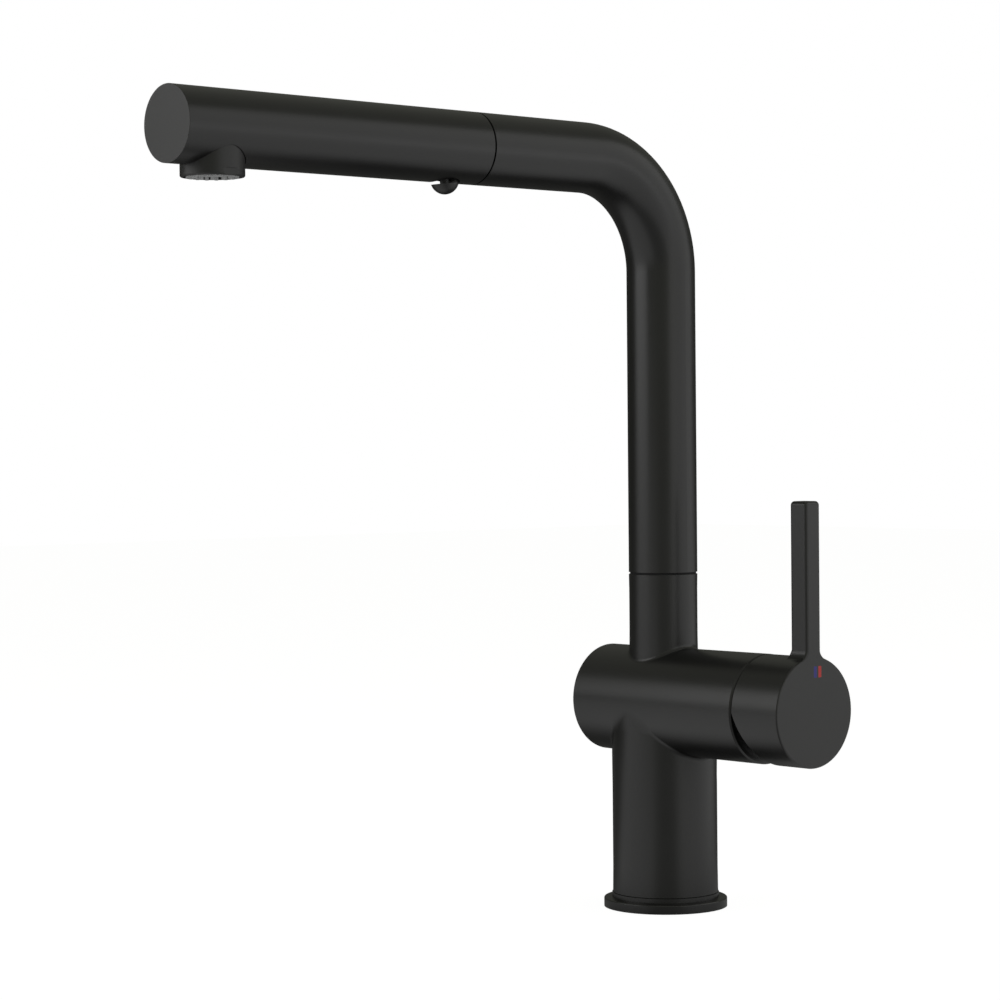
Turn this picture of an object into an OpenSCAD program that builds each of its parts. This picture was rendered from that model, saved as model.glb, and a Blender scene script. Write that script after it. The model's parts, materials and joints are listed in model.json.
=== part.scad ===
/* [Base] */
// Outside diameter of the base flange on the worktop
flange_d = 50.3; // [49:0.1:56]
// Height of the flange, up to the body that stands on it
flange_h = 6; // [5.5:0.1:8]
// Straight height of the flange's rim
flange_rim = 3.7; // [3:0.1:4.5]

/* [Body] */
// Diameter of the upright column
column_d = 43; // [42:0.1:43.4]
// Diameter of the barrel that holds the cartridge
barrel_d = 43.6; // [43.5:0.1:45]
// Height of the barrel's centreline over the worktop
barrel_z = 84; // [75:1:90]
// Distance from the column's axis to the barrel's closed end
barrel_back = 31.5; // [28:0.5:34]
// Distance from the column's axis to the barrel's open face
barrel_face = 57.8; // [57.8:0.1:60]

/* [Spout] */
// Outside diameter of the neck, the spout tube and the spray head
tube_d = 28; // [27.6:0.1:28.4]
// Wall thickness of the spout tube
tube_wall = 1.5; // [1.3:0.1:1.6]
// Centreline radius of the spout's bend
bend_r = 44; // [40:1:50]
// Height of the arm's centreline over the worktop
arm_z = 303; // [280:1:330]
// Height of the joint between neck and spout
swivel_z = 136.3; // [133:0.1:145]
// Reach from the spout's axis to the joint with the spray head
arm_reach = 101.7; // [98:0.1:120]
// Width of the shadow gap at both spout joints
joint_gap = 0.8; // [0.5:0.1:0.9]

/* [Spray head] */
// Length of the spray head from the joint to its flat front end
head_length = 142.3; // [140:0.1:160]
// Distance from the head's front end back to the outlet's axis
outlet_setback = 19.5; // [18:0.5:22]
// Outside diameter of the outlet housing
outlet_d = 23.3; // [23:0.1:23.5]
// How far the outlet's rim hangs below the head
outlet_drop = 3.9; // [3:0.1:5]
// Diameter of the pull-out hose
hose_d = 14; // [13:0.5:14.5]
// Distance from the joint to the toggle's pivot
toggle_setback = 14.4; // [14:0.1:15]
// Diameter of the toggle's round button
toggle_d = 11; // [10.6:0.1:11.2]
// Angle through which the toggle rocks
toggle_rock = 11; // [9:1:12]

/* [Lever] */
// Diameter of the lever's round cap
cap_d = 43.4; // [43:0.1:43.6]
// Length of the cap, with the gap to the barrel left off
cap_length = 23.8; // [23.7:0.1:26]
// Height of the lever's tip over the worktop
lever_top = 166.2; // [150:0.1:180]
// Width of the lever's blade
blade_w = 8.3; // [7.5:0.1:9]
// Thickness of the lever's blade
blade_t = 8.7; // [7.5:0.1:9]
// Furthest tilt of the lever, fully open
lever_tilt = 20; // [18:1:20]

/* [Cartridge] */
// Nominal diameter of the ceramic cartridge
cartridge_d = 35; // [34.8:0.1:35]
// Distance from the barrel's face down to the cartridge's seat
cartridge_depth = 35.8; // [35.8:0.1:36.2]

/* [Hidden] */
$fn = 64;

// Clearances: a part that turns or slides in another, and a part that is fixed in another
running = 0.05;
fitted = 0.02;
// Overshoot of a cutting tool past the face that it opens
past = 1;

black = "#232325";
dark_plastic = "#2e2e30";
brass = "#b49a5a";
steel = "#a8aaad";
ceramic = "#e8e4da";
seal_black = "#18181a";
mat_grey = "#6f7173";

tube_r = tube_d / 2;
bore_r = tube_r - tube_wall;
column_r = column_d / 2;
barrel_r = barrel_d / 2;
cap_r = cap_d / 2;
hose_r = hose_d / 2;
bend_z = arm_z - bend_r;

// Base
spigot_r = 20;
spigot_z = 0.6;
seal_inner_r = spigot_r + 1.1;
seal_outer_r = flange_d / 2 - 2.15;
seal_h = 1.8;

// Ports in the body's underside: two inlets, one mixed outlet, one fixing stud
inlet_at = [12, 9.4];
mixed_x = 15.5;
stud_x = -15;
port_r = 3.5;
port_depth = 12;
channel_r = 3;
stud_r = 3.4;
stud_depth = 18;
hose_passage_r = 8.5;

// Cartridge, measured along the barrel from the column's axis
seat_x = barrel_face - cartridge_depth;
shell_r = cartridge_d / 2;
shell_inner_r = shell_r - 2.3;
seat_bore_r = shell_r + 0.2;
base_t = 6;
disc_t = 4;
disc_x = seat_x + base_t;
slide_x = disc_x + disc_t;
carrier_x = slide_x + disc_t;
carrier_t = 5;
rotor_x = carrier_x + carrier_t + 0.3;
rotor_flange_r = shell_inner_r - 0.3;
rotor_r = 12;
shoulder_x = seat_x + 30.5;
wall_x = shoulder_x - 3;
rotor_face_x = seat_x + 35;
housing_face_x = seat_x + 34.5;
nut_t = 4.1;
nut_r = shell_r + 1.4;
nut_bore_r = 13.4;
collar_x = shoulder_x + nut_t;
collar_r = barrel_r - 2.1;
port_y = inlet_at[1];
port_z = 3.5;
mixed_z = -8;
port_seal_t = 1.6;
port_seal_r = 4.2;

// Lever mechanism: the spindle tilts on its pin, and its ball end slides the disc
pivot_x = seat_x + 32;
ball_r = 2.45;
ball_x = carrier_x + 3;
ball_arm = pivot_x - ball_x;
disc_travel = ball_arm * (sin(lever_tilt) + lever_tilt * PI / 180) / 2;
slide_disc_r = 11.8;
spindle_w = 7;
pin_r = 1.5;
cap_x = barrel_face + joint_gap;
cap_face_x = cap_x + cap_length;
relief_angle = lever_tilt + 1;
cap_wall = 3.2;
cap_end_t = 5.4;
boss_x = cap_x + 3.7;
boss_r = 7.5;
stem_end_x = cap_face_x - 6.9;
grub_x = cap_face_x - 10.9;
grub_r = 2.4;
root_fillet = 4;
tip_round = 1;
mark_w = 1.7;
mark_h = 4.4;
mark_depth = 0.3;
mark_z = 15.9;
mark_cold_y = 0.6;
mark_hot_y = 3.2;

// Swivel
socket_r = 12;
socket_depth = 31;
foot_r = 11.3;
foot_bore_r = 8.2;
groove_r = 10.2;
bush_h = 5;
swivel_range = 75;
screw_drop = 16.4;
screw_r = 2.5;
screw_tip_r = 1.9;

// Docking of the head in the arm
dock_depth = 24;
dock_r = 10.3;
dock_bore_r = 10.6;
dock_spigot = 15;
dock_lip = 27;

// Spray head, measured along -Y from the spout's axis
head_y = arm_reach + joint_gap / 2;
head_end = arm_reach + head_length;
outlet_y = head_end - outlet_setback;
head_wall = 2;
head_inner_r = tube_r - head_wall;
insert_r = head_inner_r - 0.2;
outlet_r = outlet_d / 2;
outlet_rim_z = arm_z - tube_r - outlet_drop;
outlet_gap = 0.3;
outlet_neck_r = 9.8;
outlet_neck_z = arm_z + 2;
outlet_step_z = arm_z - 6.5;
face_r = 10.3;
plate_z = outlet_rim_z + 2.5;
mat_z = outlet_rim_z + 1;
aerator_r = 3.9;
outlet_ring_z = arm_z - 1.5;
outlet_ring_r = 8.7;

// Toggle and diverter
toggle_y = arm_reach + toggle_setback;
toggle_z = arm_z - tube_r + 5;
toggle_top = 5.3;
toggle_pin_r = 1;
toggle_pocket_w = toggle_d + 0.6;
toggle_pocket_l = toggle_d + 1.6;
toggle_tilt = toggle_rock / 2;
spool_z = arm_z - 3;
spool_r = 3.15;
spool_length = 12;
finger_r = 0.9;
finger_arm = spool_z - toggle_z;
spool_y = toggle_y + finger_arm * sin(toggle_tilt);

// Points along an arc, both ends included
function arc(centre, radius, from, to, steps = 8) = [
    for (i = [0:steps])
        let (angle = from + (to - from) * i / steps)
        centre + radius * [cos(angle), sin(angle)]
];

// A solid turned about the barrel's axis, from an outline of [x, radius] points
module turned_x(outline) {
    translate([0, 0, barrel_z])
        rotate([0, 90, 0])
            rotate_extrude()
                polygon([for (p = outline) [p[1], p[0]]]);
}

// A solid turned about the arm's axis, from an outline of [distance from the spout's axis, radius] points
module turned_arm(outline) {
    translate([0, 0, arm_z])
        rotate([90, 0, 0])
            rotate_extrude()
                polygon([for (p = outline) [p[1], p[0]]]);
}

// A plain rod on the barrel's axis, moved sideways and up by at
module rod_x(from, to, radius, at = [0, 0]) {
    translate([from, at[0], barrel_z + at[1]])
        rotate([0, 90, 0])
            cylinder(r = radius, h = to - from);
}

// A plain rod along the arm, from one distance to another, at a height over the worktop
module rod_arm(from, to, radius, z = arm_z) {
    translate([0, -from, z])
        rotate([90, 0, 0])
            cylinder(r = radius, h = to - from);
}

// A ring along the arm
module ring_arm(from, to, outer, inner) {
    difference() {
        rod_arm(from, to, outer);
        rod_arm(from - past, to + past, inner);
    }
}

// A ring on the barrel's axis
module ring_x(from, to, outer, inner) {
    difference() {
        rod_x(from, to, outer);
        rod_x(from - past, to + past, inner);
    }
}

// A ring about the spout's upright axis
module ring_z(from, to, outer, inner) {
    difference() {
        translate([0, 0, from]) cylinder(r = outer, h = to - from);
        translate([0, 0, from - past]) cylinder(r = inner, h = to - from + 2 * past);
    }
}

// ---- Base ----

module base_flange() {
    edge = 0.5;
    rim_r = flange_d / 2;
    land_r = column_r + 0.35;
    land_edge = 0.25;
    color(black) difference() {
        rotate_extrude()
            polygon(concat(
                [[spigot_r + fitted, 0], [rim_r, 0]],
                arc([rim_r - edge, flange_rim - edge], edge, 0, 90, 4),
                [
                    [land_r, flange_rim + 0.3], [land_r, flange_h - land_edge],
                    [column_r - 0.6, flange_h], [spigot_r + fitted, flange_h]
                ]
            ));
        translate([0, 0, -past])
            ring_z(0, seal_h + past, seal_outer_r + fitted, seal_inner_r - fitted);
    }
}

module base_seal() {
    color(seal_black) ring_z(0, seal_h, seal_outer_r, seal_inner_r);
}

// ---- Body ----

module barrel_outside() {
    edge = 0.5;
    rim = 0.6;
    turned_x(concat(
        [[-barrel_back, 0]],
        [for (p = arc([-barrel_back + edge, barrel_r - edge], edge, 180, 90, 4)) p],
        [[barrel_face - rim, barrel_r], [barrel_face, barrel_r - rim], [barrel_face, 0]]
    ));
}

// The stepped bore of the barrel: cartridge seat, nut thread, collar seat
module cartridge_bore() {
    turned_x([
        [seat_x, 0], [seat_x, seat_bore_r], [shoulder_x - 4, seat_bore_r], [shoulder_x - 4, nut_r + 0.1],
        [collar_x, nut_r + 0.1], [collar_x, collar_r + 0.1], [barrel_face + past, collar_r + 0.1],
        [barrel_face + past, 0]
    ]);
}

// A drilled port in the underside, with its channel up into the body
module port(at, top) {
    translate([at[0], at[1], spigot_z - past]) cylinder(r = port_r, h = port_depth + past);
    translate([at[0], at[1], spigot_z]) cylinder(r = channel_r, h = top - spigot_z);
}

module mixer_body() {
    neck_top = swivel_z - joint_gap / 2;
    color(black) difference() {
        union() {
            translate([0, 0, spigot_z]) cylinder(r = spigot_r, h = flange_h - spigot_z);
            translate([0, 0, flange_h]) cylinder(r = column_r, h = barrel_z - flange_h);
            barrel_outside();
            translate([0, 0, barrel_z]) cylinder(r = tube_r, h = neck_top - barrel_z);
        }
        cartridge_bore();
        translate([0, 0, -past]) cylinder(r = hose_passage_r, h = swivel_z);
        translate([0, 0, neck_top - socket_depth]) cylinder(r = socket_r, h = socket_depth + past);
        for (side = [-1, 1]) {
            port([inlet_at[0], side * inlet_at[1]], barrel_z + port_z);
            rod_x(inlet_at[0], seat_x + past, channel_r, [side * port_y, port_z]);
        }
        port([mixed_x, 0], barrel_z + mixed_z);
        rod_x(mixed_x, seat_x + past, channel_r, [0, mixed_z]);
        translate([stud_x, 0, spigot_z - past]) cylinder(r = stud_r, h = stud_depth + past);
        translate([0, socket_r - past, swivel_z - screw_drop])
            rotate([-90, 0, 0])
                cylinder(r = screw_r + fitted, h = tube_r);
    }
}

// ---- Cartridge ----

// The three water ways through the cartridge, two inlets and one outlet
module water_ways(from, to, radius) {
    for (at = [[-port_y, port_z], [port_y, port_z], [0, mixed_z]])
        rod_x(from, to, radius, at);
}

module cartridge_base() {
    color(dark_plastic) difference() {
        rod_x(seat_x, disc_x, shell_r);
        water_ways(seat_x - past, disc_x + past, channel_r);
        water_ways(seat_x - past, seat_x + port_seal_t, port_seal_r + fitted);
    }
}

module port_seals() {
    color(seal_black) difference() {
        water_ways(seat_x, seat_x + port_seal_t - fitted, port_seal_r);
        water_ways(seat_x - past, seat_x + port_seal_t + past, channel_r);
    }
}

module fixed_disc() {
    color(ceramic) difference() {
        rod_x(disc_x, slide_x, shell_inner_r - fitted);
        water_ways(disc_x - past, slide_x + past, channel_r);
    }
}

// The mixing chamber is a pocket in the face that slides on the fixed disc
module moving_disc() {
    color(ceramic) difference() {
        rod_x(slide_x, carrier_x, slide_disc_r, [0, -disc_travel / 2]);
        rod_x(slide_x - past, slide_x + 2, 8, [0, -disc_travel / 2]);
    }
}

module disc_carrier() {
    socket = 2 * (ball_r + 0.15);
    color(dark_plastic) difference() {
        rod_x(carrier_x, carrier_x + carrier_t, slide_disc_r, [0, -disc_travel / 2]);
        translate([carrier_x + 0.4, -socket / 2, barrel_z - socket / 2])
            cube([carrier_t, socket, socket]);
    }
}

module cartridge_housing() {
    color(dark_plastic) turned_x([
        [disc_x, shell_inner_r], [disc_x, shell_r], [shoulder_x, shell_r], [shoulder_x, nut_bore_r - 0.2],
        [housing_face_x, nut_bore_r - 0.2], [housing_face_x, rotor_r + running],
        [wall_x, rotor_r + running], [wall_x, shell_inner_r]
    ]);
}

// The rotor turns in the housing and carries the spindle's pin
module spindle_rotor() {
    slot_w = spindle_w + 0.4;
    slot_up = 8;
    slot_down = 5.5;
    color(dark_plastic) difference() {
        turned_x([
            [rotor_x, 0], [rotor_x, rotor_flange_r], [wall_x - 0.2, rotor_flange_r], [wall_x - 0.2, rotor_r],
            [rotor_face_x, rotor_r], [rotor_face_x, 0]
        ]);
        translate([rotor_x - past, -slot_w / 2, barrel_z - slot_down])
            cube([rotor_face_x - rotor_x + 2 * past, slot_w, slot_up + slot_down]);
        translate([pivot_x, -rotor_r - past, barrel_z])
            rotate([-90, 0, 0])
                cylinder(r = pin_r + fitted, h = 2 * (rotor_r + past));
    }
}

module spindle_pin() {
    length = 2 * (rotor_r - 0.8);
    color(steel)
        translate([pivot_x, -length / 2, barrel_z])
            rotate([-90, 0, 0])
                cylinder(r = pin_r, h = length);
}

module spindle() {
    stem_x = pivot_x + 1;
    rod_r = 1.7;
    eye_r = 4;
    color(steel) difference() {
        union() {
            translate([ball_x, 0, barrel_z]) sphere(r = ball_r);
            rod_x(ball_x, pivot_x, rod_r);
            translate([pivot_x, -spindle_w / 2, barrel_z])
                rotate([-90, 0, 0])
                    cylinder(r = eye_r, h = spindle_w);
            translate([stem_x, -spindle_w / 2, barrel_z - spindle_w / 2])
                cube([stem_end_x - stem_x - 0.3, spindle_w, spindle_w]);
        }
        translate([pivot_x, -spindle_w, barrel_z])
            rotate([-90, 0, 0])
                cylinder(r = pin_r + running, h = 2 * spindle_w);
    }
}

module cartridge_nut() {
    key_w = 4;
    key_depth = 1.5;
    color(brass) difference() {
        ring_x(shoulder_x, collar_x, nut_r, nut_bore_r);
        for (angle = [0, 90])
            translate([collar_x - key_depth, 0, barrel_z])
                rotate([angle, 0, 0])
                    translate([0, -key_w / 2, -nut_r - past])
                        cube([key_depth + past, key_w, 2 * (nut_r + past)]);
    }
}

module cartridge_collar() {
    face_x = barrel_face - 0.2;
    color(black) turned_x([
        [collar_x, nut_bore_r], [collar_x, collar_r], [face_x, collar_r], [face_x, nut_bore_r]
    ]);
}

// ---- Lever ----

// The relief under the cap: it lets the lower half swing in as the blade swings out
module cap_relief() {
    size = 3 * cap_r;
    translate([cap_x, 0, barrel_z])
        rotate([0, -relief_angle, 0])
            translate([-size, -size / 2, -size])
                cube(size);
}

// Outline of the blade in the face's plane, with its root fillets and a rounded tip
module blade_outline() {
    half = blade_w / 2;
    tip = lever_top - barrel_z;
    fillet_y = half + root_fillet;
    fillet_z = sqrt(pow(cap_r + root_fillet, 2) - pow(fillet_y, 2));
    root_y = fillet_y * cap_r / (cap_r + root_fillet);
    inside_z = cap_r - cap_wall;
    polygon(concat(
        [[-half, inside_z], [half, inside_z]],
        arc([half - tip_round, tip - tip_round], tip_round, 0, 90, 6),
        arc([-half + tip_round, tip - tip_round], tip_round, 90, 180, 6)
    ));
    difference() {
        translate([-root_y, inside_z]) square([2 * root_y, fillet_z - inside_z]);
        for (side = [-1, 1])
            translate([side * fillet_y, fillet_z]) circle(r = root_fillet);
    }
}

// A hot or cold mark: a short upright bar let into the cap's face
module mark(y, from, depth) {
    corner = 0.3;
    translate([from, y, barrel_z + mark_z])
        rotate([90, 0, 90])
            linear_extrude(depth)
                union() {
                    square([mark_w - 2 * corner, mark_h], center = true);
                    square([mark_w, mark_h - 2 * corner], center = true);
                    for (i = [-1, 1])
                        for (j = [-1, 1])
                            translate([i * (mark_w / 2 - corner), j * (mark_h / 2 - corner)])
                                circle(r = corner);
                }
}

module lever_handle() {
    edge = 0.6;
    socket = spindle_w + 2 * fitted;
    back_fillet = 3.5;
    blade_x = cap_face_x - blade_t;
    plug_r = grub_r + 0.5;
    color(black) difference() {
        union() {
            difference() {
                turned_x(concat(
                    [[cap_x, 0], [cap_x, cap_r]],
                    arc([cap_face_x - edge, cap_r - edge], edge, 90, 0, 4),
                    [[cap_face_x, 0]]
                ));
                turned_x([
                    [cap_x - past, 0], [cap_x - past, cap_r - cap_wall],
                    [cap_face_x - cap_end_t, cap_r - cap_wall], [cap_face_x - cap_end_t, 0]
                ]);
            }
            rod_x(boss_x, cap_face_x - cap_end_t, boss_r);
            translate([blade_x, 0, barrel_z])
                rotate([90, 0, 90])
                    linear_extrude(blade_t) blade_outline();
            difference() {
                translate([blade_x - back_fillet, -blade_w / 2, barrel_z + cap_r - cap_wall])
                    cube([back_fillet, blade_w, cap_wall + back_fillet - 0.1]);
                translate([blade_x - back_fillet, -blade_w, barrel_z + cap_r + back_fillet])
                    rotate([-90, 0, 0])
                        cylinder(r = back_fillet, h = 2 * blade_w);
            }
        }
        cap_relief();
        translate([boss_x - past, -socket / 2, barrel_z - socket / 2])
            cube([stem_end_x - boss_x + past, socket, socket]);
        translate([grub_x, 0, barrel_z - cap_r - past])
            cylinder(r = plug_r + fitted, h = cap_wall + 2 * past);
        translate([grub_x, 0, barrel_z - cap_r])
            cylinder(r = grub_r + fitted, h = cap_r);
        mark(mark_cold_y, cap_face_x - mark_depth, past);
        mark(mark_hot_y, cap_face_x - mark_depth, past);
    }
}

module lever_grub_screw() {
    socket_depth = 2.5;
    bottom = barrel_z - boss_r;
    color(steel) difference() {
        translate([grub_x, 0, bottom]) cylinder(r = grub_r, h = boss_r - spindle_w / 2 - fitted);
        translate([grub_x, 0, bottom - past]) cylinder(r = 1.25, h = socket_depth + past, $fn = 6);
    }
}

module lever_screw_plug() {
    plug_r = grub_r + 0.5;
    plug_h = 2.4;
    plug_top = barrel_z - cap_r + cap_wall - 0.4;
    color(dark_plastic)
        translate([grub_x, 0, plug_top - plug_h])
            cylinder(r = plug_r, h = plug_h);
}

module cold_mark() {
    color("#3f5f9e") mark(mark_cold_y, cap_face_x - mark_depth, mark_depth);
}

module hot_mark() {
    color("#b8473c") mark(mark_hot_y, cap_face_x - mark_depth, mark_depth);
}

// ---- Swivel ----

module thrust_washer() {
    color(seal_black)
        ring_z(swivel_z - joint_gap / 2, swivel_z + joint_gap / 2, tube_r - 0.5, foot_r + 0.2);
}

// Heights on the swivel's foot, counted down from the neck's top
foot_top = 14;
upper_bush = 1.5;
o_ring_drop = 9.2;
foot_clear = 1;

module spout_foot() {
    neck_top = swivel_z - joint_gap / 2;
    bottom = neck_top - socket_depth + foot_clear;
    ring_groove = 1.1;
    stop_arc = 2 * (swivel_range + 11);
    tip_clear = screw_tip_r + 0.35;
    screw_z = swivel_z - screw_drop;
    ring_z_mid = neck_top - o_ring_drop;
    color(steel) difference() {
        union() {
            translate([0, 0, bottom]) cylinder(r = foot_r, h = swivel_z + joint_gap / 2 - bottom);
            translate([0, 0, swivel_z + joint_gap / 2]) cylinder(r = bore_r - fitted, h = foot_top);
        }
        translate([0, 0, bottom - past]) cylinder(r = foot_bore_r, h = socket_depth + foot_top + 3 * past);
        for (z = [bottom + foot_clear, neck_top - upper_bush - bush_h])
            ring_z(z, z + bush_h, socket_r, groove_r);
        ring_z(ring_z_mid - ring_groove, ring_z_mid + ring_groove, socket_r, groove_r);
        translate([0, 0, screw_z - tip_clear])
            rotate([0, 0, 90 - stop_arc / 2])
                rotate_extrude(angle = stop_arc)
                    translate([groove_r, 0])
                        square([socket_r - groove_r, 2 * tip_clear]);
    }
}

module swivel_bushes() {
    neck_top = swivel_z - joint_gap / 2;
    bottom = neck_top - socket_depth + foot_clear;
    color(mat_grey)
        for (z = [bottom + foot_clear, neck_top - upper_bush - bush_h])
            ring_z(z, z + bush_h, socket_r - running, groove_r);
}

module swivel_o_ring() {
    section_r = (socket_r - running - groove_r) / 2;
    color(seal_black)
        translate([0, 0, swivel_z - joint_gap / 2 - o_ring_drop])
            rotate_extrude()
                translate([groove_r + section_r, 0])
                    circle(r = section_r);
}

module swivel_screw() {
    head_y = tube_r - 0.4;
    color(steel)
        translate([0, 0, swivel_z - screw_drop])
            rotate([-90, 0, 0])
                difference() {
                    union() {
                        translate([0, 0, socket_r + 0.1]) cylinder(r = screw_r, h = head_y - socket_r - 0.1);
                        translate([0, 0, groove_r + 0.3]) cylinder(r = screw_tip_r, h = socket_r - groove_r);
                    }
                    translate([0, 0, head_y - 1.4]) cylinder(r = 1.25, h = past + 1.4, $fn = 6);
                }
}

// ---- Spout ----

// Upright, bend and arm as one run of round bar
module spout_run(radius, bottom, reach) {
    translate([0, 0, bottom]) cylinder(r = radius, h = bend_z - bottom);
    translate([0, -bend_r, bend_z])
        rotate([90, 0, 90])
            rotate_extrude(angle = 90)
                translate([bend_r, 0])
                    circle(r = radius);
    rod_arm(bend_r, reach, radius);
}

module spout_tube() {
    bottom = swivel_z + joint_gap / 2;
    reach = arm_reach - joint_gap / 2;
    color(black) difference() {
        spout_run(tube_r, bottom, reach);
        spout_run(bore_r, bottom - past, reach + past);
    }
}

module dock_socket() {
    mouth = arm_reach - joint_gap / 2 - 0.3;
    lip = arm_reach - dock_lip;
    color(dark_plastic) turned_arm([
        [lip, hose_r + 0.6], [lip, bore_r - fitted], [mouth, bore_r - fitted], [mouth, dock_bore_r + 0.8],
        [mouth - 1.2, dock_bore_r], [lip + 3, dock_bore_r], [lip + 3, hose_r + 0.6]
    ]);
}

// ---- Pull-out hose: one part stays in the spout, the other leaves it with the head ----

lead_end = arm_reach - dock_lip + 4.2;
thread_start = arm_reach - dock_spigot + 0.3;
thread_end = thread_start + 11;
washer_t = 1.2;
thread_r = 6.5;

module hose_riser() {
    color(seal_black) {
        translate([0, 0, spigot_z + 0.4]) cylinder(r = hose_r, h = bend_z - spigot_z - 0.4);
        translate([0, -bend_r, bend_z])
            rotate([90, 0, 90])
                rotate_extrude(angle = 90)
                    translate([bend_r, 0])
                        circle(r = hose_r);
    }
}

module hose_lead() {
    color(seal_black) rod_arm(bend_r + 0.2, lead_end, hose_r);
}

module hose_connector() {
    ferrule = 4;
    nut_corner_r = 9.4;
    color(brass) difference() {
        union() {
            rod_arm(lead_end, lead_end + ferrule, hose_r + 0.5);
            translate([0, -lead_end - ferrule, arm_z])
                rotate([90, 0, 0])
                    cylinder(r = nut_corner_r, h = thread_start - lead_end - ferrule - 0.1, $fn = 6);
            rod_arm(lead_end + ferrule, thread_end, thread_r - fitted);
        }
        rod_arm(lead_end + ferrule, thread_end + past, 4.5);
    }
}

module hose_washer() {
    color(seal_black) ring_arm(thread_end, thread_end + washer_t, thread_r - 0.2, 3.5);
}

// ---- Spray head ----

valve_start = thread_end + washer_t;
valve_end = valve_start + 8;
valve_r = 5;
spool_start = spool_y - spool_length / 2 - 1.5;
spool_end = spool_y + spool_length / 2 + 0.3;
duct_r = 1.5;
duct_x = 2;
duct_z = arm_z + 5.5;
dock_ring_y = arm_reach - 8;
dock_ring_r = 9.4;

// The slot in the head's underside that the toggle sits in, round at both ends
module toggle_slot(width, length, from, to) {
    round_r = width / 2;
    translate([0, -toggle_y, from])
        linear_extrude(to - from) {
            square([width, length - width], center = true);
            for (side = [-1, 1])
                translate([0, side * (length - width) / 2]) circle(r = round_r);
        }
}

module head_shell() {
    front_wall = 2.5;
    edge = 0.1;
    color(black) difference() {
        turned_arm([
            [head_y, head_inner_r], [head_y, tube_r], [head_end - edge, tube_r], [head_end, tube_r - edge],
            [head_end, 0], [head_end - front_wall, 0], [head_end - front_wall, head_inner_r]
        ]);
        translate([0, -outlet_y, arm_z - 2 * tube_r]) cylinder(r = outlet_r + outlet_gap, h = 2 * tube_r);
        toggle_slot(toggle_pocket_w, toggle_pocket_l, arm_z - 2 * tube_r, arm_z - tube_r / 2);
    }
}

module waterway_insert() {
    start = head_y - dock_spigot;
    nose = 1.2;
    block_end = toggle_y + 9.5;
    pocket_top = toggle_z + 2.6;
    finger_slot = 2 * finger_r + 2.2;
    color(dark_plastic) difference() {
        union() {
            turned_arm([
                [start, 0], [start, dock_r - nose], [start + nose, dock_r], [head_y + 0.3, dock_r],
                [head_y + 0.3, insert_r], [block_end, insert_r], [block_end, 0]
            ]);
            rod_arm(block_end, outlet_y - 12.5, 5.2, duct_z - 1.2);
            rod_arm(outlet_y - 12.5, outlet_y + 13, insert_r);
        }
        turned_arm([
            [dock_ring_y - 0.7, dock_ring_r], [dock_ring_y - 0.7, dock_r + past],
            [dock_ring_y + 0.7, dock_r + past], [dock_ring_y + 0.7, dock_ring_r]
        ]);
        rod_arm(start - past, valve_start, thread_r);
        rod_arm(start, spool_start + past, valve_r + fitted);
        rod_arm(spool_start, spool_end, spool_r + running, spool_z);
        toggle_slot(toggle_pocket_w, toggle_pocket_l, arm_z - 2 * tube_r, pocket_top);
        toggle_slot(finger_slot, finger_slot + 3, arm_z - 2 * tube_r, spool_z);
        translate([-insert_r, -toggle_y, toggle_z])
            rotate([0, 90, 0])
                cylinder(r = toggle_pin_r + fitted, h = 2 * insert_r);
        for (side = [-1, 1]) {
            rise_y = toggle_y - side * 3.5;
            drop_y = outlet_y - 1.5 - 2 * side;
            translate([side * duct_x, -rise_y, spool_z]) cylinder(r = duct_r, h = duct_z - spool_z);
            translate([side * duct_x, 0, 0]) rod_arm(rise_y, drop_y, duct_r, duct_z);
            translate([side * duct_x, -drop_y, arm_z]) cylinder(r = duct_r, h = duct_z - arm_z);
        }
        turned_outlet([
            [0, outlet_rim_z], [outlet_r + outlet_gap, outlet_rim_z], [outlet_r + outlet_gap, outlet_step_z],
            [outlet_neck_r + fitted, outlet_step_z], [outlet_neck_r + fitted, outlet_neck_z],
            [0, outlet_neck_z]
        ]);
    }
}

module dock_o_ring() {
    section_r = 0.55;
    color(seal_black)
        translate([0, -dock_ring_y, arm_z])
            rotate([90, 0, 0])
                rotate_extrude()
                    translate([dock_ring_r + section_r, 0])
                        circle(r = section_r);
}

module check_valve() {
    color(mat_grey) difference() {
        rod_arm(valve_start, valve_end, valve_r);
        rod_arm(valve_start - past, valve_start + 2, 3.2);
        rod_arm(valve_end - 2, valve_end + past, 3.2);
    }
}

module diverter_spool() {
    slot = 2 * (finger_r + 0.12);
    color(mat_grey) difference() {
        rod_arm(spool_y - spool_length / 2, spool_y + spool_length / 2, spool_r, spool_z);
        translate([-spool_r - past, -spool_y - slot / 2, spool_z - spool_r - past])
            cube([2 * (spool_r + past), slot, spool_r + past + finger_r + 0.3]);
        for (side = [-1, 1])
            translate([0, -spool_y - side * 3.5, spool_z])
                difference() {
                    rotate([90, 0, 0]) translate([0, 0, -1.2]) cylinder(r = spool_r + past, h = 2.4);
                    rotate([90, 0, 0]) translate([0, 0, -2]) cylinder(r = 1.9, h = 4);
                }
    }
}

// A round bar across the head, through the toggle's own frame
module cross_bar(radius, length, y = 0, z = 0) {
    translate([-length / 2, y, z]) rotate([0, 90, 0]) cylinder(r = radius, h = length);
}

// The button is the lower part of a ball, cut flat on top
module toggle_button() {
    above_cut = 1.4;
    difference() {
        translate([0, 0, above_cut - toggle_top]) sphere(r = toggle_d / 2);
        translate([-toggle_d, -toggle_d, -toggle_top]) cube(2 * toggle_d);
    }
}

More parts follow.
